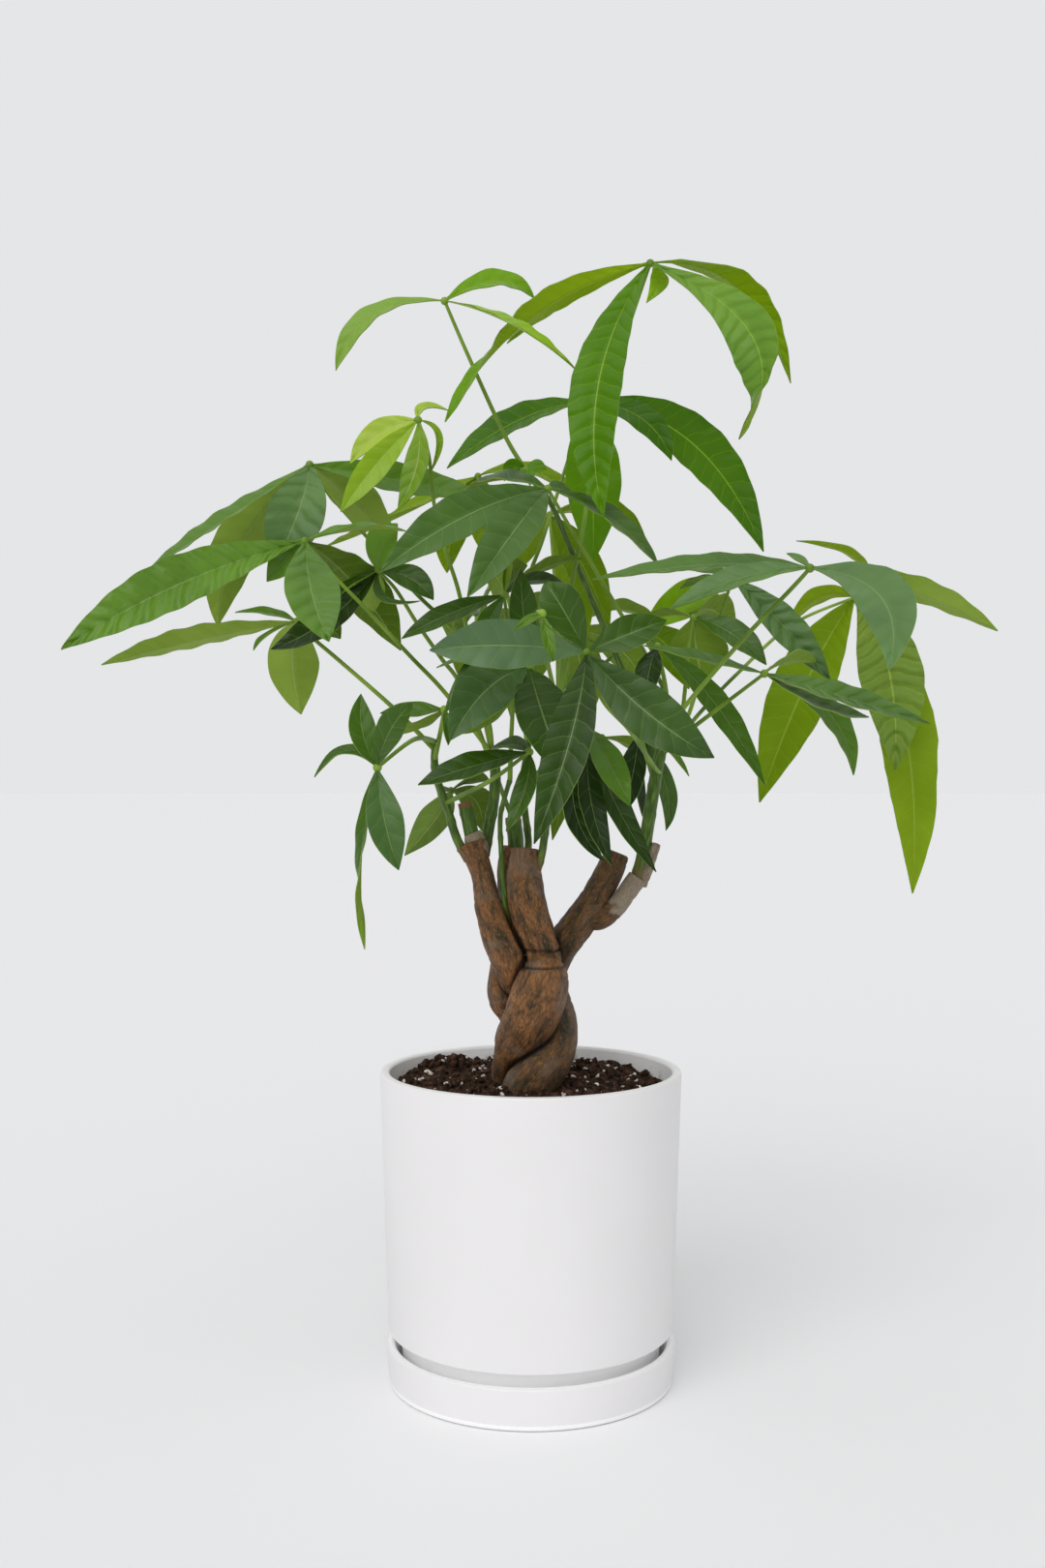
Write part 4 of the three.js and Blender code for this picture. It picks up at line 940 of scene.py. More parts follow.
def blade_material(name, greens, vein, rib, roughness, gloss, glow):
    """A leaf's face from its deep, bright and sunlit greens, and the colours of its veins and midrib."""
    material, shader = new_material(name, greens[1], {
        "Roughness": roughness, "Specular IOR Level": gloss, "Subsurface Weight": glow,
        "Subsurface Radius": (0.5, 1.0, 0.2), "Subsurface Scale": 2 * MM,
    })
    place = add_node(material, "TexCoord", out="Object")
    blade = add_node(material, "UVMap")
    veins, across = (add_node(material, "SeparateXYZ", {"Vector": blade}, out=axis) for axis in "XY")
    off_rib = add_node(material, "Math", {0: across, 1: 0.5}, operation="SUBTRACT")
    out = add_node(material, "Math", {0: off_rib}, operation="ABSOLUTE")
    slant = add_node(material, "Math", {0: out, 1: -1.7, 2: veins}, operation="MULTIPLY_ADD")
    wander = add_node(material, "TexNoise", {"Vector": place, "Scale": 90, "Detail": 2})
    swayed = add_node(material, "Math", {0: wander, 1: 0.7, 2: slant}, operation="MULTIPLY_ADD")
    between = add_node(material, "Math", {0: swayed, 1: 0.5}, operation="PINGPONG")
    vein_line = add_node(material, "MapRange", {0: between, 1: 0.0, 2: 0.055, 3: 0.36, 4: 0.0}, **SMOOTHLY)
    rib_line = add_node(material, "MapRange", {0: out, 1: 0.007, 2: 0.024, 3: 0.6, 4: 0.0}, **SMOOTHLY)
    patch = add_node(material, "TexNoise", {"Vector": place, "Scale": 24, "Detail": 4})
    tint_and_light, quilt, painted_sheen = (
        add_node(material, "Attribute", out="Fac", attribute_name=key) for key in (TINT_AND_LIGHT, QUILT, PAINTED_SHEEN)
    )
    # Painted light and shade: the tint sets how far up the ramp from deep to sunlit green a leaflet sits,
    # partly as tone that differs from leaflet to leaflet and partly to paint it lit or in shade.
    share = add_node(material, "Math", {0: patch, 1: 0.5, 2: tint_and_light}, operation="MULTIPLY_ADD")
    shade = add_node(material, "MapRange", {0: share, 1: 0.25, 2: 1.25, 3: 0.0, 4: 1.0})
    colour = add_node(material, "ValToRGB", {"Fac": shade}, stops=zip((0.0, 0.5, 1.0), greens))
    # Painted reflection: a grey-blue, like the sky mirrored in a leaflet that faces up, is mixed into the
    # colour by its painted sheen.
    for mask, layer in ((painted_sheen, PAINTED_SHEEN_GREY), (vein_line, vein), (rib_line, rib)):
        colour = add_node(material, "Mix", {"Factor": mask, 6: colour, 7: layer}, **MIXED)
    connect(colour, shader, "Base Color")
    pillow = add_node(material, "MapRange", {0: between, 1: 0.0, 2: 0.45, 3: 0.0, 4: 1.0}, **SMOOTHLY)
    raised = add_node(material, "Math", {0: pillow, 1: quilt}, operation="MULTIPLY")
    sunk = add_node(material, "Math", {0: rib_line, 1: -0.35, 2: raised}, operation="MULTIPLY_ADD")
    relief = add_node(material, "Bump", {"Height": sunk, "Strength": 0.6, "Distance": 1.6 * MM})
    connect(relief, shader, "Normal")
    return material


LEAF_FACES = {}
for tone, age, upper, under in (
    ("mature", "mature",
     (("#1b3300", "#426808", "#709e2a"), "#688740", "#86a05c", 0.36, 0.36, 0.05),
     (("#546f14", "#7a9630", "#9fb750"), "#90a556", "#a5b970", 0.6, 0.12, 0.1)),
    ("fresh", "fresh",
     (("#3d6a00", "#5f9000", "#8ab20c"), "#78a414", "#9cbe3c", 0.32, 0.2, 0.1),
     (("#5f8200", "#80a000", "#9fb820"), "#98b22c", "#afc550", 0.5, 0.1, 0.15)),
    ("young", "unfolding",
     (("#4c7304", "#86a818", "#a8c040"), "#a2bd42", "#bccf6c", 0.32, 0.35, 0.2),
     (("#74930a", "#98b028", "#b4c648"), "#abc050", "#bccf72", 0.45, 0.15, 0.2)),
    # Painted light: the backlit copy is a brighter yellow green, painting the light that shines through these
    # leaves.
    ("backlit", "sunlit",
     (("#5c7c02", "#7c980a", "#9cb62c"), "#92aa34", "#a6bb50", 0.42, 0.15, 0.2),
     (("#658404", "#859f10", "#a2b82c"), "#98ae3a", "#aec05c", 0.5, 0.12, 0.2)),
):
    LEAF_FACES[tone] = [
        blade_material(age + " leaf upper face", *upper), blade_material(age + " leaf under face", *under),
    ]

petiole_skin = mottled(
    "leaf stalk and margin", "#6b8a2a", {"Roughness": 0.42, "Specular IOR Level": 0.3}, 30, 2,
    [(0.3, "#527318"), (0.7, "#89a93c")],
)
print("leaf finishes:", 2 * len(LEAF_FACES) + 1)

# %% [markdown]
# ## One leaflet
#
# A leaflet starts as a flat grid and is laid along a curve that leaves the hub, passes the leaflet's mid
# point and ends at its tip. The grid narrows to the blade's outline, folds a little along the midrib, waves
# along its margins and puckers between its veins. Solidify then gives it its thickness, and gives the other
# side the look of the under face.

# %% Leaflet
BLADE_FOLD = math.radians(17)
BLADE_THICKNESS = 0.55 * MM
BLADE_TIP = 0.02
BLADE_ROOT = 0.09
BELLY_PLACE = 1.12
BELLY_FULLNESS = 0.9
LONG_BLADE = 60 * MM
LONG_GRID = (32, 10)
SHORT_GRID = (18, 8)
QUILTED_GRID = (110, 20)
VEIN_SPACING = 9.5 * MM
VEIN_SLANT = 0.85
VEIN_SWAY = 0.35
SWAY_LENGTH = 9 * MM
PUCKER = 0.45 * MM
CURL = 0.16
MARGIN_WAVE = 0.06
MARGIN_LAG = 1.3
WAVE_LENGTH = 19 * MM
SMOOTH = 0.22
EYE = np.array([EYE_X, -EYE_DISTANCE, EYE_HEIGHT]) * MM
ROOM_LOW = np.array(cad_low) + BLADE_THICKNESS
ROOM_HIGH = np.array(cad_high) - BLADE_THICKNESS


def turned_about(vector, axis, angle):
    """The vector turned about a unit axis that stands square on it."""
    return vector * math.cos(angle) + np.cross(axis, vector) * math.sin(angle)


def outline(t):
    """Half width of a blade along its length, as a share of its greatest half width."""
    belly = math.sin(math.pi * t ** BELLY_PLACE) ** BELLY_FULLNESS if 0 < t < 1 else 0
    return max(belly, BLADE_ROOT if t < 0.5 else BLADE_TIP)


def leaflet(draw, hub, mid, tip, width, turn, tint_and_light, twist=0, quilt=SMOOTH, painted_sheen=0):
    """A blade from hub to tip. At turn 0 its upper face looks at the viewer, at 90 it is edge on."""
    start, middle, end = seen(hub), seen(mid), seen(tip)
    pull = 2 * middle - (start + end) / 2
    chord = unit(end - start)
    facing = EYE - middle
    facing = unit(facing - facing @ chord * chord)
    skyward = np.cross(chord, facing)
    if skyward[2] < 0:
        skyward = -skyward
    normal = facing * math.cos(math.radians(turn)) + skyward * math.sin(math.radians(turn))
    length = np.linalg.norm(middle - start) + np.linalg.norm(end - middle)
    steps, sides = QUILTED_GRID if quilt > 1 else LONG_GRID if length > LONG_BLADE else SHORT_GRID

    bpy.ops.mesh.primitive_grid_add(x_subdivisions=steps, y_subdivisions=sides, size=1)
    piece = bpy.context.active_object
    phase = draw.uniform(0, 6.28)
    curl = draw.uniform(0, CURL)
    points = []
    for x, y, _ in corners(piece):
        t = x + 0.5
        out = 2 * y
        centre = (1 - t) ** 2 * start + 2 * t * (1 - t) * pull + t * t * end
        ahead = unit(2 * (1 - t) * (pull - start) + 2 * t * (end - pull))
        up = unit(normal - normal @ ahead * ahead)
        up = turned_about(up, ahead, math.radians(twist) * t * t)
        side = np.cross(up, ahead)
        reach = width / 2 * outline(t) * MM
        wave = math.sin(2 * math.pi * length / WAVE_LENGTH * t + phase + (MARGIN_LAG if out > 0 else 0))
        margin = MARGIN_WAVE * wave * out * out
        belly = abs(out) - out * out
        beat = t * length / VEIN_SPACING - VEIN_SLANT * abs(out)
        beat += VEIN_SWAY * noise.noise(Vector(centre / SWAY_LENGTH))
        pillow = PUCKER * quilt * abs(math.sin(math.pi * beat)) * 4 * belly
        rise = reach * (abs(out) * math.sin(BLADE_FOLD) + margin + curl * belly) + pillow
        points.append(centre + side * out * reach * math.cos(BLADE_FOLD) + up * rise)
    put_corners(piece, np.clip(points, ROOM_LOW, ROOM_HIGH))
    for loop in piece.data.uv_layers[0].data:
        loop.uv = (loop.uv.x * length / VEIN_SPACING, loop.uv.y)
    for name, value in ((TINT_AND_LIGHT, tint_and_light + draw.uniform(-0.05, 0.05)), (QUILT, quilt), (PAINTED_SHEEN, painted_sheen)):
        mark(piece, name, np.full(len(points), value))
    return piece


print("blade outline at its quarters:", [round(outline(t), 2) for t in (0.25, 0.5, 0.75)])

# %% [markdown]
# ## The leaves
#
# Each row is a leaf: its name and tone, the shoot that bears it and how far along, the place of its hub, the
# path of its petiole and its leaflets. A leaflet is its mid point, its tip, its width in mm, its turn in
# degrees and its tint, from 0 for deep green to 1 for light, which is partly tone that differs from leaflet
# to leaflet and partly painted light and shade. A twist towards the tip, a quilting or a painted sheen, a
# grey-blue painted reflection of the sky, follows where it has one. Depths were chosen so that no leaf runs
# through another. The last three leaves are not seen from the front, and fill the plant out behind as they
# would on a real one.

# %% The leaves: where they grow and how their leaflets spread
LEAVES = [
    ("leaf_top_right", "fresh", "shoot_centre", 1, (672, 272, -22),
     [(589, 618, 6), (603, 543, 2), (611, 491, -2), (640, 370, -14)], [
        ((619, 395, -54), (624, 534, -66), 31, 18, 0.2, {"quilt": 0.45}),
        ((548, 330, -20), (460, 436, -18), 24, 150, 0.6, {"twist": -120}),
        ((598, 303, 0), (524, 355, 10), 20, 118, 0.3),
        ((764, 299, 12), (817, 396, 14), 25, 128, 0.4, {"quilt": 0.5}),
        ((780, 352, -46), (764, 454, -48), 30, 22, 0.6, {"twist": 125, "quilt": 0.8, "painted_sheen": 0.2}),
        ((684, 284, 8), (668, 313, 14), 13, 30, 1.1),
    ]),
    ("leaf_top_left", "fresh", "shoot_top", 0.9, (459.5, 311, -10), [(526, 458, 5), (485, 370, -6)], [
        ((385, 326, -14), (347, 383, -18), 16, 66, 1.0, {"twist": -45, "painted_sheen": 0.3}),
        ((512, 291, -2), (552, 308, 2), 20, 60, 0.6), ((530, 336, -44), (597, 384, -38), 17, 76, 1.0),
    ]),
    ("leaf_young", "young", "shoot_middle", 1, (432, 434, -28),
     [(505, 745, 5), (490, 688, 2), (475, 615, -4), (461, 570, -10), (449, 523, -18), (443, 470, -24)], [
        ((393, 447, -24), (362, 479, -24), 16, 30, 1.0), ((390, 479, -44), (352, 529, -50), 17, 12, 0.55),
        ((431, 480, -42), (411, 527, -46), 15, 20, 0.2), ((453, 450, -26), (445, 488, -26), 5, 40, 0.4),
        ((438, 421, -20), (463, 424, -18), 8, 60, 0.9),
    ]),
    ("leaf_upper_back", "fresh", "shoot_rear", 1, (606, 415, 44),
     [(546, 640, 20), (547, 597, 24), (560, 560, 28), (577, 507, 34)], [
        ((535, 435, 40), (462, 484, 36), 24, 50, 0.1), ((714, 457, 54), (789, 570, 48), 34, 22, 0.1),
        ((662, 432, 28), (694, 476, 22), 19, 30, 0.0), ((612, 488, 36), (613, 580, 40), 36, 8, 0.4),
        ((610, 425, 90), (618, 470, 130), 32, 165, 0.3),
    ]),
    ("leaf_centre_upper", "mature", "shoot_right", 1, (566, 505, -48),
     [(686, 712, -12), (665, 672, -24), (647, 643, -32), (605, 572, -42)], [
        ((482, 533, -72), (393, 591, -84), 28, 28, 0.5, {"painted_sheen": 0.08}),
        ((532, 548, -78), (483, 617, -98), 27, 20, 0.42, {"painted_sheen": 0.08}),
        ((628, 534, -56), (680, 584, -66), 19, 62, 0.35), ((517, 496, -28), (476, 512, -14), 22, 78, 0.25),
        ((580, 506, -30), (600, 520, -22), 12, 70, 0.38),
    ]),
    ("leaf_tuft", "fresh", "shoot_top", 1, (543, 486, -3), [], [
        ((531, 484, -6), (521, 497, -8), 12, 20, 0.15), ((545, 487, -8), (548, 502, -10), 9, 20, 0.4),
        ((554, 483, -4), (564, 485, -5), 10, 40, 0.4),
    ]),
    ("leaf_left_upper", "mature", "shoot_middle", 0.82, (320, 480, -14),
     [(489, 692, 16), (473, 656, 12), (428, 611, 3), (382, 558, -4), (338, 508, -10)], [
        ((232, 538, -14), (149, 593, -14), 22, 72, 0.7, {"painted_sheen": 0.05}),
        ((250, 560, 14), (225, 647, 20), 32, 158, 0.75),
        ((308, 530, -28), (281, 589, -24), 35, 14, 0.65, {"quilt": 0.6, "painted_sheen": 0.25}),
        ((362, 513, 14), (409, 564, 24), 28, 150, 0.95), ((408, 496, 6), (502, 513, 8), 23, 38, 0.75),
    ]),
    ("leaf_left_middle", "mature", "shoot_middle", 0.9, (315, 559, -48),
     [(461, 717, -10), (425, 679, -22), (380, 631, -34), (347, 597, -42)], [
        ((187, 603, -62), (63, 671, -70), 32, 26, 0.78, {"quilt": 1.2}),
        ((297, 577, -46), (276, 601, -44), 18, 25, 0.65),
        ((322, 612, -74), (340, 663, -88), 31, 8, 0.7, {"quilt": 0.6, "painted_sheen": 0.05}),
        ((368, 548, -34), (420, 549, -26), 22, 84, 0.8), ((368, 606, 8), (414, 672, 26), 33, 152, 0.1),
    ]),
    ("leaf_left_low", "mature", "shoot_left", 0.9, (307, 642, -22),
     [(406, 731, -12), (350, 682, -18), (323, 659, -20)], [
        ((205, 662, -18), (105, 687, -18), 24, 122, 0.6), ((274, 634, -8), (243, 633, 0), 14, 72, 0.7),
        ((279, 655, -34), (262, 672, -40), 10, 80, 0.6), ((302, 684, 0), (311, 738, 6), 32, 172, 0.7),
        ((330, 640, 24), (352, 660, 48), 24, 150, 0.1),
    ]),
    ("leaf_left_inner", "mature", "shoot_middle", 0.74, (391, 590, -8),
     [(478, 712, 13), (456, 680, 8), (431, 644, 1), (409, 609, -5)], [
        ((338, 641, -32), (280, 671, -42), 19, 24, 0.0), ((364, 604, -18), (342, 623, -22), 14, 70, 0.15),
        ((385, 612, 4), (387, 632, 12), 18, 160, 0.85), ((396, 565, -14), (411, 541, -18), 24, 35, 0.9),
        ((424, 598, -12), (448, 620, -14), 17, 26, 0.3), ((396, 620, -20), (434, 621, -26), 9, 60, 0.25),
    ]),
    ("leaf_star", "mature", "shoot_right", 0.72, (606, 674, -104),
     [(679, 796, -14), (651, 755, -66), (622, 722, -92)], [
        ((524, 667, -114), (444, 672, -118), 28, 14, 0.6, {"painted_sheen": 0.38}),
        ((582, 630, -108), (563, 602, -104), 23, 8, 0.28),
        ((648, 656, -106), (689, 641, -102), 20, 20, 0.38),
        ((667, 735, -122), (738, 783, -128), 29, 10, 0.28, {"painted_sheen": 0.05}),
        ((590, 762, -130), (552, 872, -140), 25, 12, 0.06),
    ]),
    ("leaf_front_inner", "mature", "shoot_rear", 0.9, (547, 690, -62), [(553, 716, -22)], [
        ((505, 711, -84), (465, 765, -100), 31, 16, 0.4, {"painted_sheen": 0.15}),
        ((560, 736, -92), (584, 804, -108), 30, 8, 0.22), ((520, 735, -70), (478, 758, -78), 14, 110, 0.4),
        ((541, 638, -62), (538, 588, -62), 17, 10, 0.35),
        ((505, 679, -66), (451, 690, -64), 12, 70, 0.45, {"painted_sheen": 0.3}),
        ((506, 690, -62), (460, 736, -64), 22, 40, 0.4),
    ]),
    ("leaf_centre_low", "mature", "shoot_left", 0.45, (547, 777, -64), [(506, 807, -42)], [
        ((489, 792, -74), (432, 811, -80), 18, 40, 0.22), ((543, 815, -76), (523, 859, -84), 13, 20, 0.3),
        ((528, 770, -50), (505, 776, -40), 14, 60, 0.25),
    ]),
    ("leaf_front_left", "mature", "shoot_left", 1, (390, 793, -112), [(428, 764, -70)], [
        ((375, 758, -112), (373, 717, -108), 15, 10, 0.45),
        ((404, 754, -128), (427, 726, -138), 16, 20, 0.4),
        ((397, 846, -122), (412, 899, -124), 20, 8, 0.45, {"painted_sheen": 0.15}),
        ((374, 880, -108), (377, 981, -106), 12, 40, 0.4, {"twist": 120}),
        ((358, 776, -104), (325, 803, -102), 10, 60, 0.4),
    ]),
    ("leaf_left_small", "mature", "shoot_left", 0.8, (459, 733, -34), [(456, 752, -20)], [
        ((428, 735, -36), (393, 737, -36), 14, 50, 0.5), ((437, 751, -24), (410, 759, -16), 16, 110, 0.4),
        ((462, 748, -40), (463, 770, -42), 8, 30, 0.55),
    ]),
    ("leaf_left_hanging", "mature", "shoot_left", 0.55, (466, 817, 14), [], [
        ((450, 846, 26), (418, 884, 34), 20, 165, 0.4, {"painted_sheen": 0.15}),
        ((486, 808, 30), (506, 807, 40), 16, 110, 0.28), ((492, 828, 36), (498, 859, 48), 20, 165, 0.1),
    ]),
    ("leaf_right_inner", "mature", "shoot_right", 0.95, (717, 638, 2),
     [(704, 740, 3), (709, 702, 2), (712, 668, 1)], [
        ((756, 655, -8), (792, 687, -16), 20, 40, 0.4), ((720, 672, 8), (727, 709, 10), 38, 172, 0.4),
        ((690, 636, 10), (659, 646, 14), 18, 105, 0.35), ((735, 630, 40), (760, 650, 66), 26, 140, 0.4),
    ]),
    ("leaf_right_dark", "mature", "shoot_right", 0.9, (679, 668, -34), [(688, 712, -30)], [
        ((738, 726, -26), (790, 811, -24), 17, 28, 0.5), ((671, 694, -50), (668, 722, -60), 16, 16, 0.0),
        ((652, 655, -46), (628, 662, -56), 18, 60, 0.25),
    ]),
    ("leaf_right_middle", "mature", "shoot_right", 0.8, (790, 696, -64), [(709, 757, -30)], [
        ((730, 683, -66), (665, 667, -66), 16, 70, 0.5),
        ((866, 719, -76), (961, 748, -80), 20, 56, 0.65, {"quilt": 0.7, "painted_sheen": 0.1}),
        ((845, 728, -68), (898, 741, -64), 18, 66, 0.6), ((857, 738, -48), (882, 801, -42), 18, 40, 0.6),
        ((815, 684, -40), (844, 684, -24), 18, 110, 0.4),
    ]),
    ("leaf_right_veined", "mature", "shoot_right", 0.85, (757, 597, -4),
     [(708, 746, 12), (722, 706, 28), (741, 648, 22)], [
        ((808, 645, -16), (858, 703, -20), 22, 24, 0.5, {"quilt": 1.0, "painted_sheen": 0.2}),
        ((725, 588, 4), (693, 590, 10), 16, 62, 0.5, {"painted_sheen": 0.1}),
        ((732, 600, 14), (703, 608, 26), 18, 100, 0.6, {"painted_sheen": 0.25}),
    ]),
    ("leaf_right_front", "mature", "shoot_right", 0.86, (837, 587, -128),
     [(699, 741, -50), (762, 667, -92), (820, 606, -122)], [
        ((736, 584, -112), (612, 599, -100), 18, 62, 0.5, {"painted_sheen": 0.1}),
        ((764, 598, -126), (692, 630, -124), 17, 48, 0.6, {"painted_sheen": 0.22}),
        ((910, 617, -160), (919, 692, -182), 29, 22, 0.65, {"painted_sheen": 0.3}),
        ((940, 611, -118), (1031, 652, -116), 22, 126, 0.6),
        ((826, 578, -120), (813, 572, -116), 6, 50, 0.7, {"painted_sheen": 0.2}),
    ]),
    ("leaf_right_back", "backlit", "shoot_right", 0.78, (884, 617, 118),
     [(702, 764, 16), (722, 738, 36), (762, 696, 62), (819, 645, 96)], [
        ((918, 690, 110), (925, 795, 104), 44, 10, 0.35, {"quilt": 2.0, "painted_sheen": 0.2}),
        ((935, 750, 136), (943, 923, 142), 41, 14, 0.6), ((834, 704, 130), (785, 829, 134), 43, 14, 0.35),
        ((848, 617, 122), (815, 646, 126), 18, 130, 0.55), ((886, 579, 124), (823, 559, 128), 14, 114, 0.5),
    ]),
    ("leaf_right_oval", "fresh", "shoot_centre", 0.86, (662, 652, 44), [(606, 706, 32)], [
        ((706, 622, 44), (752, 598, 44), 24, 12, 0.85), ((690, 668, 66), (712, 712, 80), 26, 160, 0.0),
    ]),
    ("leaf_low_right", "mature", "shoot_centre", 0.76, (608, 752, -58), [], [
        ((592, 826, -62), (624, 890, -60), 17, 24, -0.2), ((610, 824, -76), (632, 894, -84), 15, 18, -0.1),
        ((633, 824, -54), (678, 901, -52), 15, 22, 0.1), ((629, 788, -88), (651, 833, -98), 17, 12, 0.7),
        ((587, 812, -44), (571, 868, -40), 13, 150, 0.1),
    ]),
    ("leaf_low_right_back", "mature", "shoot_right", 0.62, (660, 756, 22), [], [
        ((655, 796, 22), (643, 843, 24), 18, 20, -0.2), ((660, 806, 34), (667, 851, 40), 8, 40, -0.2),
        ((688, 772, 28), (712, 802, 32), 10, 60, 0.6), ((688, 812, 36), (688, 858, 42), 12, 20, 0.4),
    ]),
    ("leaf_centre_small", "mature", "shoot_front", 1, (521, 615, -34), [(528, 770, -6), (530, 700, -14)], [
        ((466, 634, -44), (415, 660, -48), 14, 32, 0.25), ((514, 597, -20), (500, 586, -8), 24, 150, 0.35),
        ((530, 594, -16), (545, 584, 0), 18, 140, 0.25), ((506, 640, -44), (495, 664, -50), 12, 20, 0.4),
        ((553, 600, -30), (587, 609, -30), 14, 60, 0.1), ((560, 588, -10), (602, 577, 0), 13, 120, 0.2),
    ]),
    ("leaf_new_shoot", "young", "shoot_centre", 0.93, (560, 634, -124),
     [(573, 716, -28), (556, 640, -94)], [
        ((566, 657, -128), (572, 684, -130), 7, 10, 0.0), ((548, 640, -128), (532, 651, -132), 6, 40, -0.2),
    ]),
    ("leaf_back_left", "backlit", "shoot_rear", 0.7, (494, 492, 130), [(530, 640, 60), (500, 530, 110)], [
        ((450, 512, 128), (402, 533, 126), 16, 60, 0.3), ((548, 487, 126), (600, 515, 122), 18, 60, 0.3),
        ((470, 540, 144), (462, 592, 150), 26, 160, 0.3), ((400, 540, 150), (336, 565, 156), 24, 100, 0.3),
        ((500, 530, 176), (510, 590, 200), 30, 165, 0.3),
    ]),
    ("leaf_back_middle", "backlit", "shoot_centre", 0.93, (568, 532, 92),
     [(576, 650, 50), (572, 580, 78)], [
        ((600, 580, 92), (630, 650, 94), 26, 12, 0.3), ((590, 590, 112), (606, 660, 124), 26, 160, 0.3),
        ((540, 560, 120), (516, 610, 136), 28, 160, 0.3), ((620, 530, 118), (668, 560, 138), 26, 130, 0.3),
    ]),
    ("leaf_rear_left", "mature", "shoot_back", 0.85, (494, 640, 132), [(508, 780, 60), (500, 690, 110)], [
        ((474, 634, 152), (466, 664, 186), 26, 140, 0.3), ((488, 672, 158), (484, 714, 172), 28, 165, 0.3),
        ((510, 672, 168), (516, 716, 194), 28, 165, 0.3), ((520, 644, 160), (542, 670, 186), 24, 150, 0.3),
        ((498, 622, 170), (500, 640, 206), 26, 150, 0.3),
    ]),
    ("leaf_rear_middle", "mature", "shoot_rear", 0.45, (592, 650, 150), [(560, 790, 70), (585, 700, 130)], [
        ((550, 680, 166), (528, 742, 178), 30, 165, 0.3), ((600, 690, 180), (606, 750, 200), 32, 172, 0.3),
        ((640, 670, 170), (672, 720, 184), 28, 155, 0.3), ((640, 630, 150), (682, 650, 150), 24, 110, 0.3),
        ((560, 630, 180), (540, 650, 214), 26, 150, 0.3),
    ]),
    ("leaf_rear_low", "mature", "shoot_rear", 0.56, (622, 762, 88), [(590, 790, 60)], [
        ((660, 775, 96), (690, 806, 104), 20, 120, 0.3), ((630, 800, 110), (636, 850, 124), 24, 170, 0.3),
        ((590, 790, 106), (566, 832, 116), 22, 160, 0.3),
    ]),
]
print("leaves:", len(LEAVES), "leaflets:", sum(len(leaflets) for *_, leaflets in LEAVES))

# %% Petioles, hubs and leaves
PETIOLE_RADIUS = 1.35
PETIOLE_ROOT_RADIUS = 1.55
PETIOLE_TIP_RADIUS = 1.0
PETIOLE_SIDES = 10
PETIOLE_STEPS = 14
HUB_RADIUS = 2.4 * MM


def petiole(shoot, at, path, hub):
    """The stalk from the shoot to the hub."""
    root = along(placed(SHOOTS[shoot]), at)
    root[3] = PETIOLE_ROOT_RADIUS * MM
    stops = path + [hub]
    radii = np.linspace(PETIOLE_RADIUS, PETIOLE_TIP_RADIUS, len(stops))
    route = [root] + placed([(*stop, radius) for stop, radius in zip(stops, radii)])
    return tube(route, PETIOLE_SIDES, PETIOLE_STEPS * len(route))


def hub_knot(hub):
    """The small knot where the leaflets spread."""
    bpy.ops.mesh.primitive_ico_sphere_add(subdivisions=3, radius=HUB_RADIUS, location=seen(hub))
    piece = bpy.context.active_object
    bpy.ops.object.transform_apply(location=True, rotation=True, scale=True)
    bpy.ops.object.shade_smooth()
    return piece


draw = random.Random(20)
faces = 0
for name, tone, shoot, at, hub, path, leaflets in LEAVES:
    blades = join([leaflet(draw, hub, *row[:5], **dict(*row[5:])) for row in leaflets])
    paint(blades, *LEAF_FACES[tone], petiole_skin)
    apply_modifier(
        blades, "SOLIDIFY", thickness=BLADE_THICKNESS, offset=0, material_offset=1, material_offset_rim=2,
    )
    blades.select_set(True)
    bpy.ops.object.shade_smooth_by_angle(angle=SHARP)
    blades.select_set(False)
    stalk = join([petiole(shoot, at, path, hub), hub_knot(hub)])
    paint(stalk, petiole_skin)
    leaf = join([blades, stalk])
    finish_piece(leaf, name + "_blades")
    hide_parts(name)
    faces += len(leaf.data.polygons)
print("leaf faces:", faces)

# %% [markdown]
# ## Floor, light and camera
#
# The plant stands on a plain pale floor that runs on without an edge. The light is that of a bright room: a
# broad window high on the left, in front of the plant, and a dimmer glow from all round, stronger from the
# front and from above. Glossy skins mirror another room than the one that lights them, as in a studio with
# black and white cards: bright behind and overhead, dim in front. The backdrop is as bright as the floor, so
# no horizon shows. A sun lamp with a wide angle stands for the window, because its light doesn't fade with
# distance and the floor stays even.

# %% Floor
FLOOR_RADIUS = 60
FLOOR_DROP = 0.3 * MM

floor_paint, _ = new_material("pale matt floor", "#f7f7f8", {"Roughness": 0.8, "Specular IOR Level": 0.15})
bpy.ops.mesh.primitive_circle_add(
    vertices=96, radius=FLOOR_RADIUS, fill_type="NGON", location=(0, 0, -FLOOR_DROP),
)
floor = bpy.context.active_object
floor.name = "floor"
paint(floor, floor_paint)
print("floor ready")

# %% The room's glow and the backdrop
GLOW_LEVEL = 0.3
GLOW_OVERHEAD = 0.88
GLOW_FRONT = 1.15
GLOW_REAR = 0.8
SHEEN_FRONT = 0.08
SHEEN_REAR = 0.95
SHEEN_OVERHEAD = 1.0

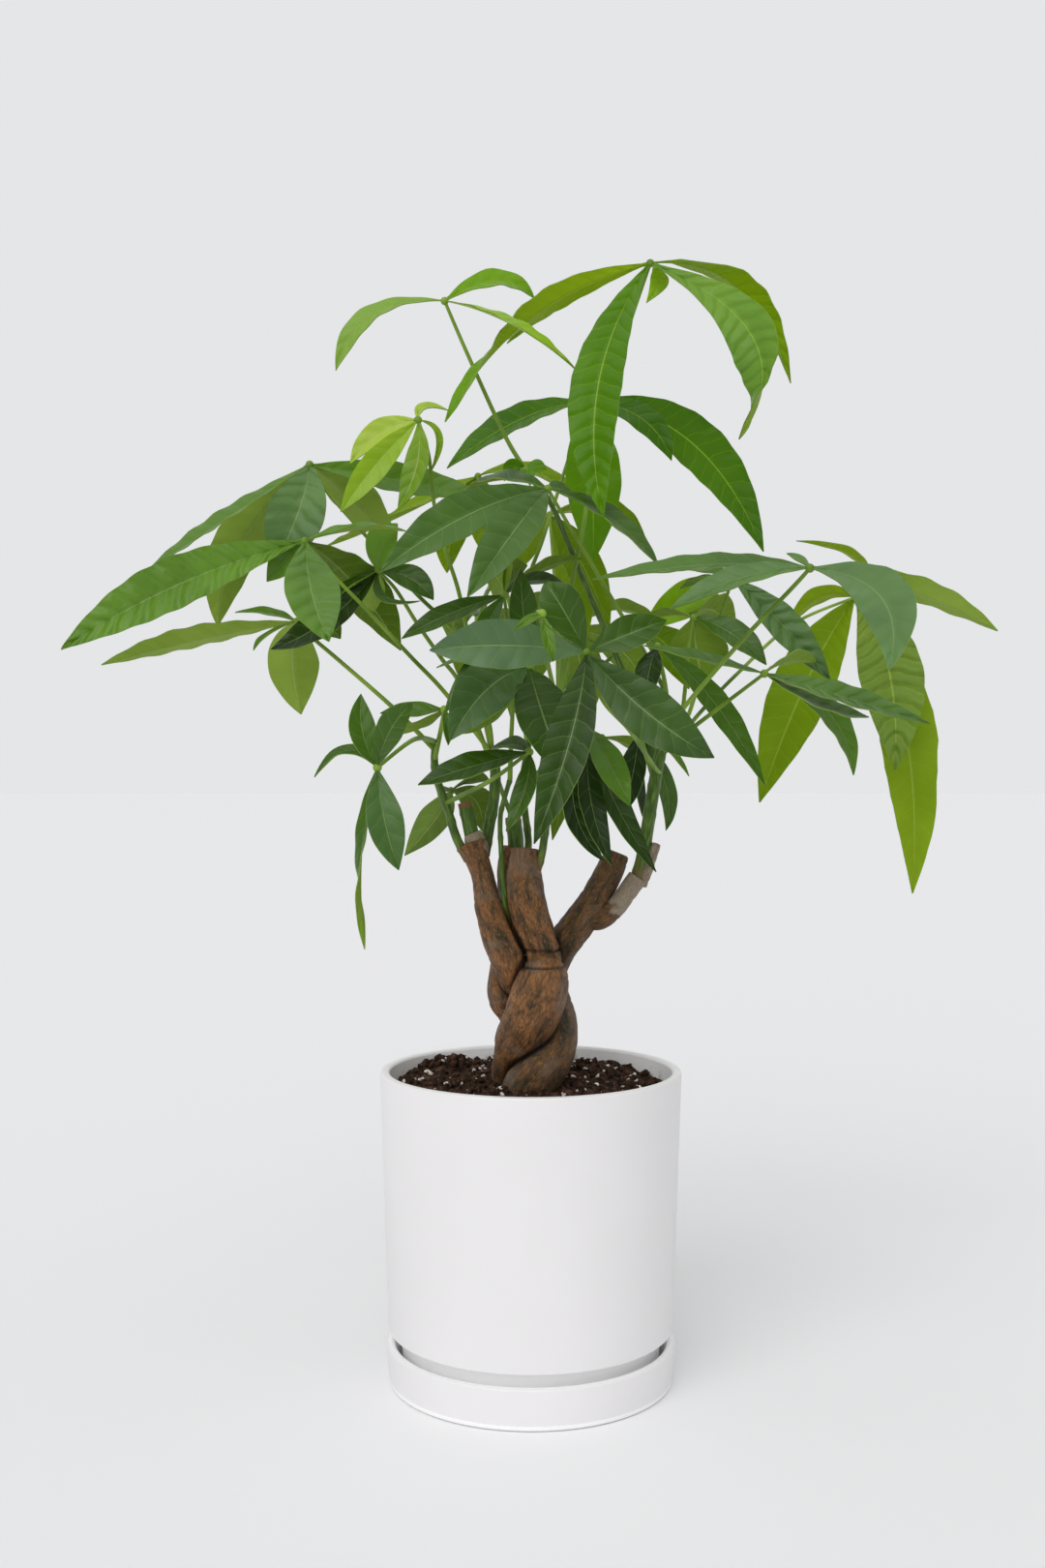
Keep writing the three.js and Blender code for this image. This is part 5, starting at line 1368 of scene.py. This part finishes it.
world = bpy.data.worlds.new("bright room")
bpy.context.scene.world = world
world.use_nodes = True
way = add_node(world, "TexCoord", out="Generated")
rise, back = (add_node(world, "SeparateXYZ", {"Vector": way}, out=axis) for axis in "ZY")
glow = add_node(world, "MapRange", {0: rise, 1: 0.0, 2: 1.0, 3: GLOW_LEVEL, 4: GLOW_OVERHEAD})
lean = add_node(world, "MapRange", {0: back, 1: -1.0, 2: 1.0, 3: GLOW_FRONT, 4: GLOW_REAR})
strength = add_node(world, "Math", {0: glow, 1: lean}, operation="MULTIPLY")
sheen = add_node(world, "MapRange", {0: back, 1: -0.6, 2: 0.8, 3: SHEEN_FRONT, 4: SHEEN_REAR})
above = add_node(world, "MapRange", {0: rise, 1: 0.2, 2: 0.9, 3: 0.0, 4: SHEEN_OVERHEAD})
mirrored = add_node(world, "Math", {0: sheen, 1: above}, operation="MAXIMUM")
to_gloss, to_camera = (add_node(world, "LightPath", out=f"Is {ray} Ray") for ray in ("Glossy", "Camera"))
lit = add_node(world, "Mix", {0: to_gloss, 2: strength, 3: mirrored})
room = world.node_tree.nodes["Background"]
room.inputs["Color"].default_value = (0.985, 0.99, 1, 1)
connect(lit, room, "Strength")
backdrop = add_node(world, "Background", {"Color": "#e5e6e7", "Strength": 1.0})
shown = add_node(world, "MixShader", {0: to_camera, 1: room.outputs[0], 2: backdrop})
connect(shown, world.node_tree.nodes["World Output"], "Surface")
print("world nodes:", len(world.node_tree.nodes))

# %% The window
WINDOW_SIDE = Vector((-0.3, -0.75, 0.6))

bpy.ops.object.light_add(type="SUN", location=WINDOW_SIDE * 2)
window = bpy.context.active_object
window.name = "window"
window.data.energy = 1.12
window.data.angle = math.radians(50)
window.data.color = (1, 0.997, 0.99)
window.rotation_euler = (-WINDOW_SIDE).to_track_quat("-Z", "Y").to_euler()

# %% Camera
SENSOR = 36

camera = bpy.data.objects.new("camera", bpy.data.cameras.new("camera"))
bpy.context.collection.objects.link(camera)
bpy.context.scene.camera = camera
camera.location = EYE
camera.rotation_euler = (math.radians(90), 0, 0)
camera.data.sensor_width = SENSOR
camera.data.lens = SENSOR * FOCUS / FRAME_HEIGHT
camera.data.clip_start = 0.05
camera.data.clip_end = 60
bpy.context.scene.view_settings.view_transform = "Standard"
print("lens:", round(camera.data.lens, 2), "mm")
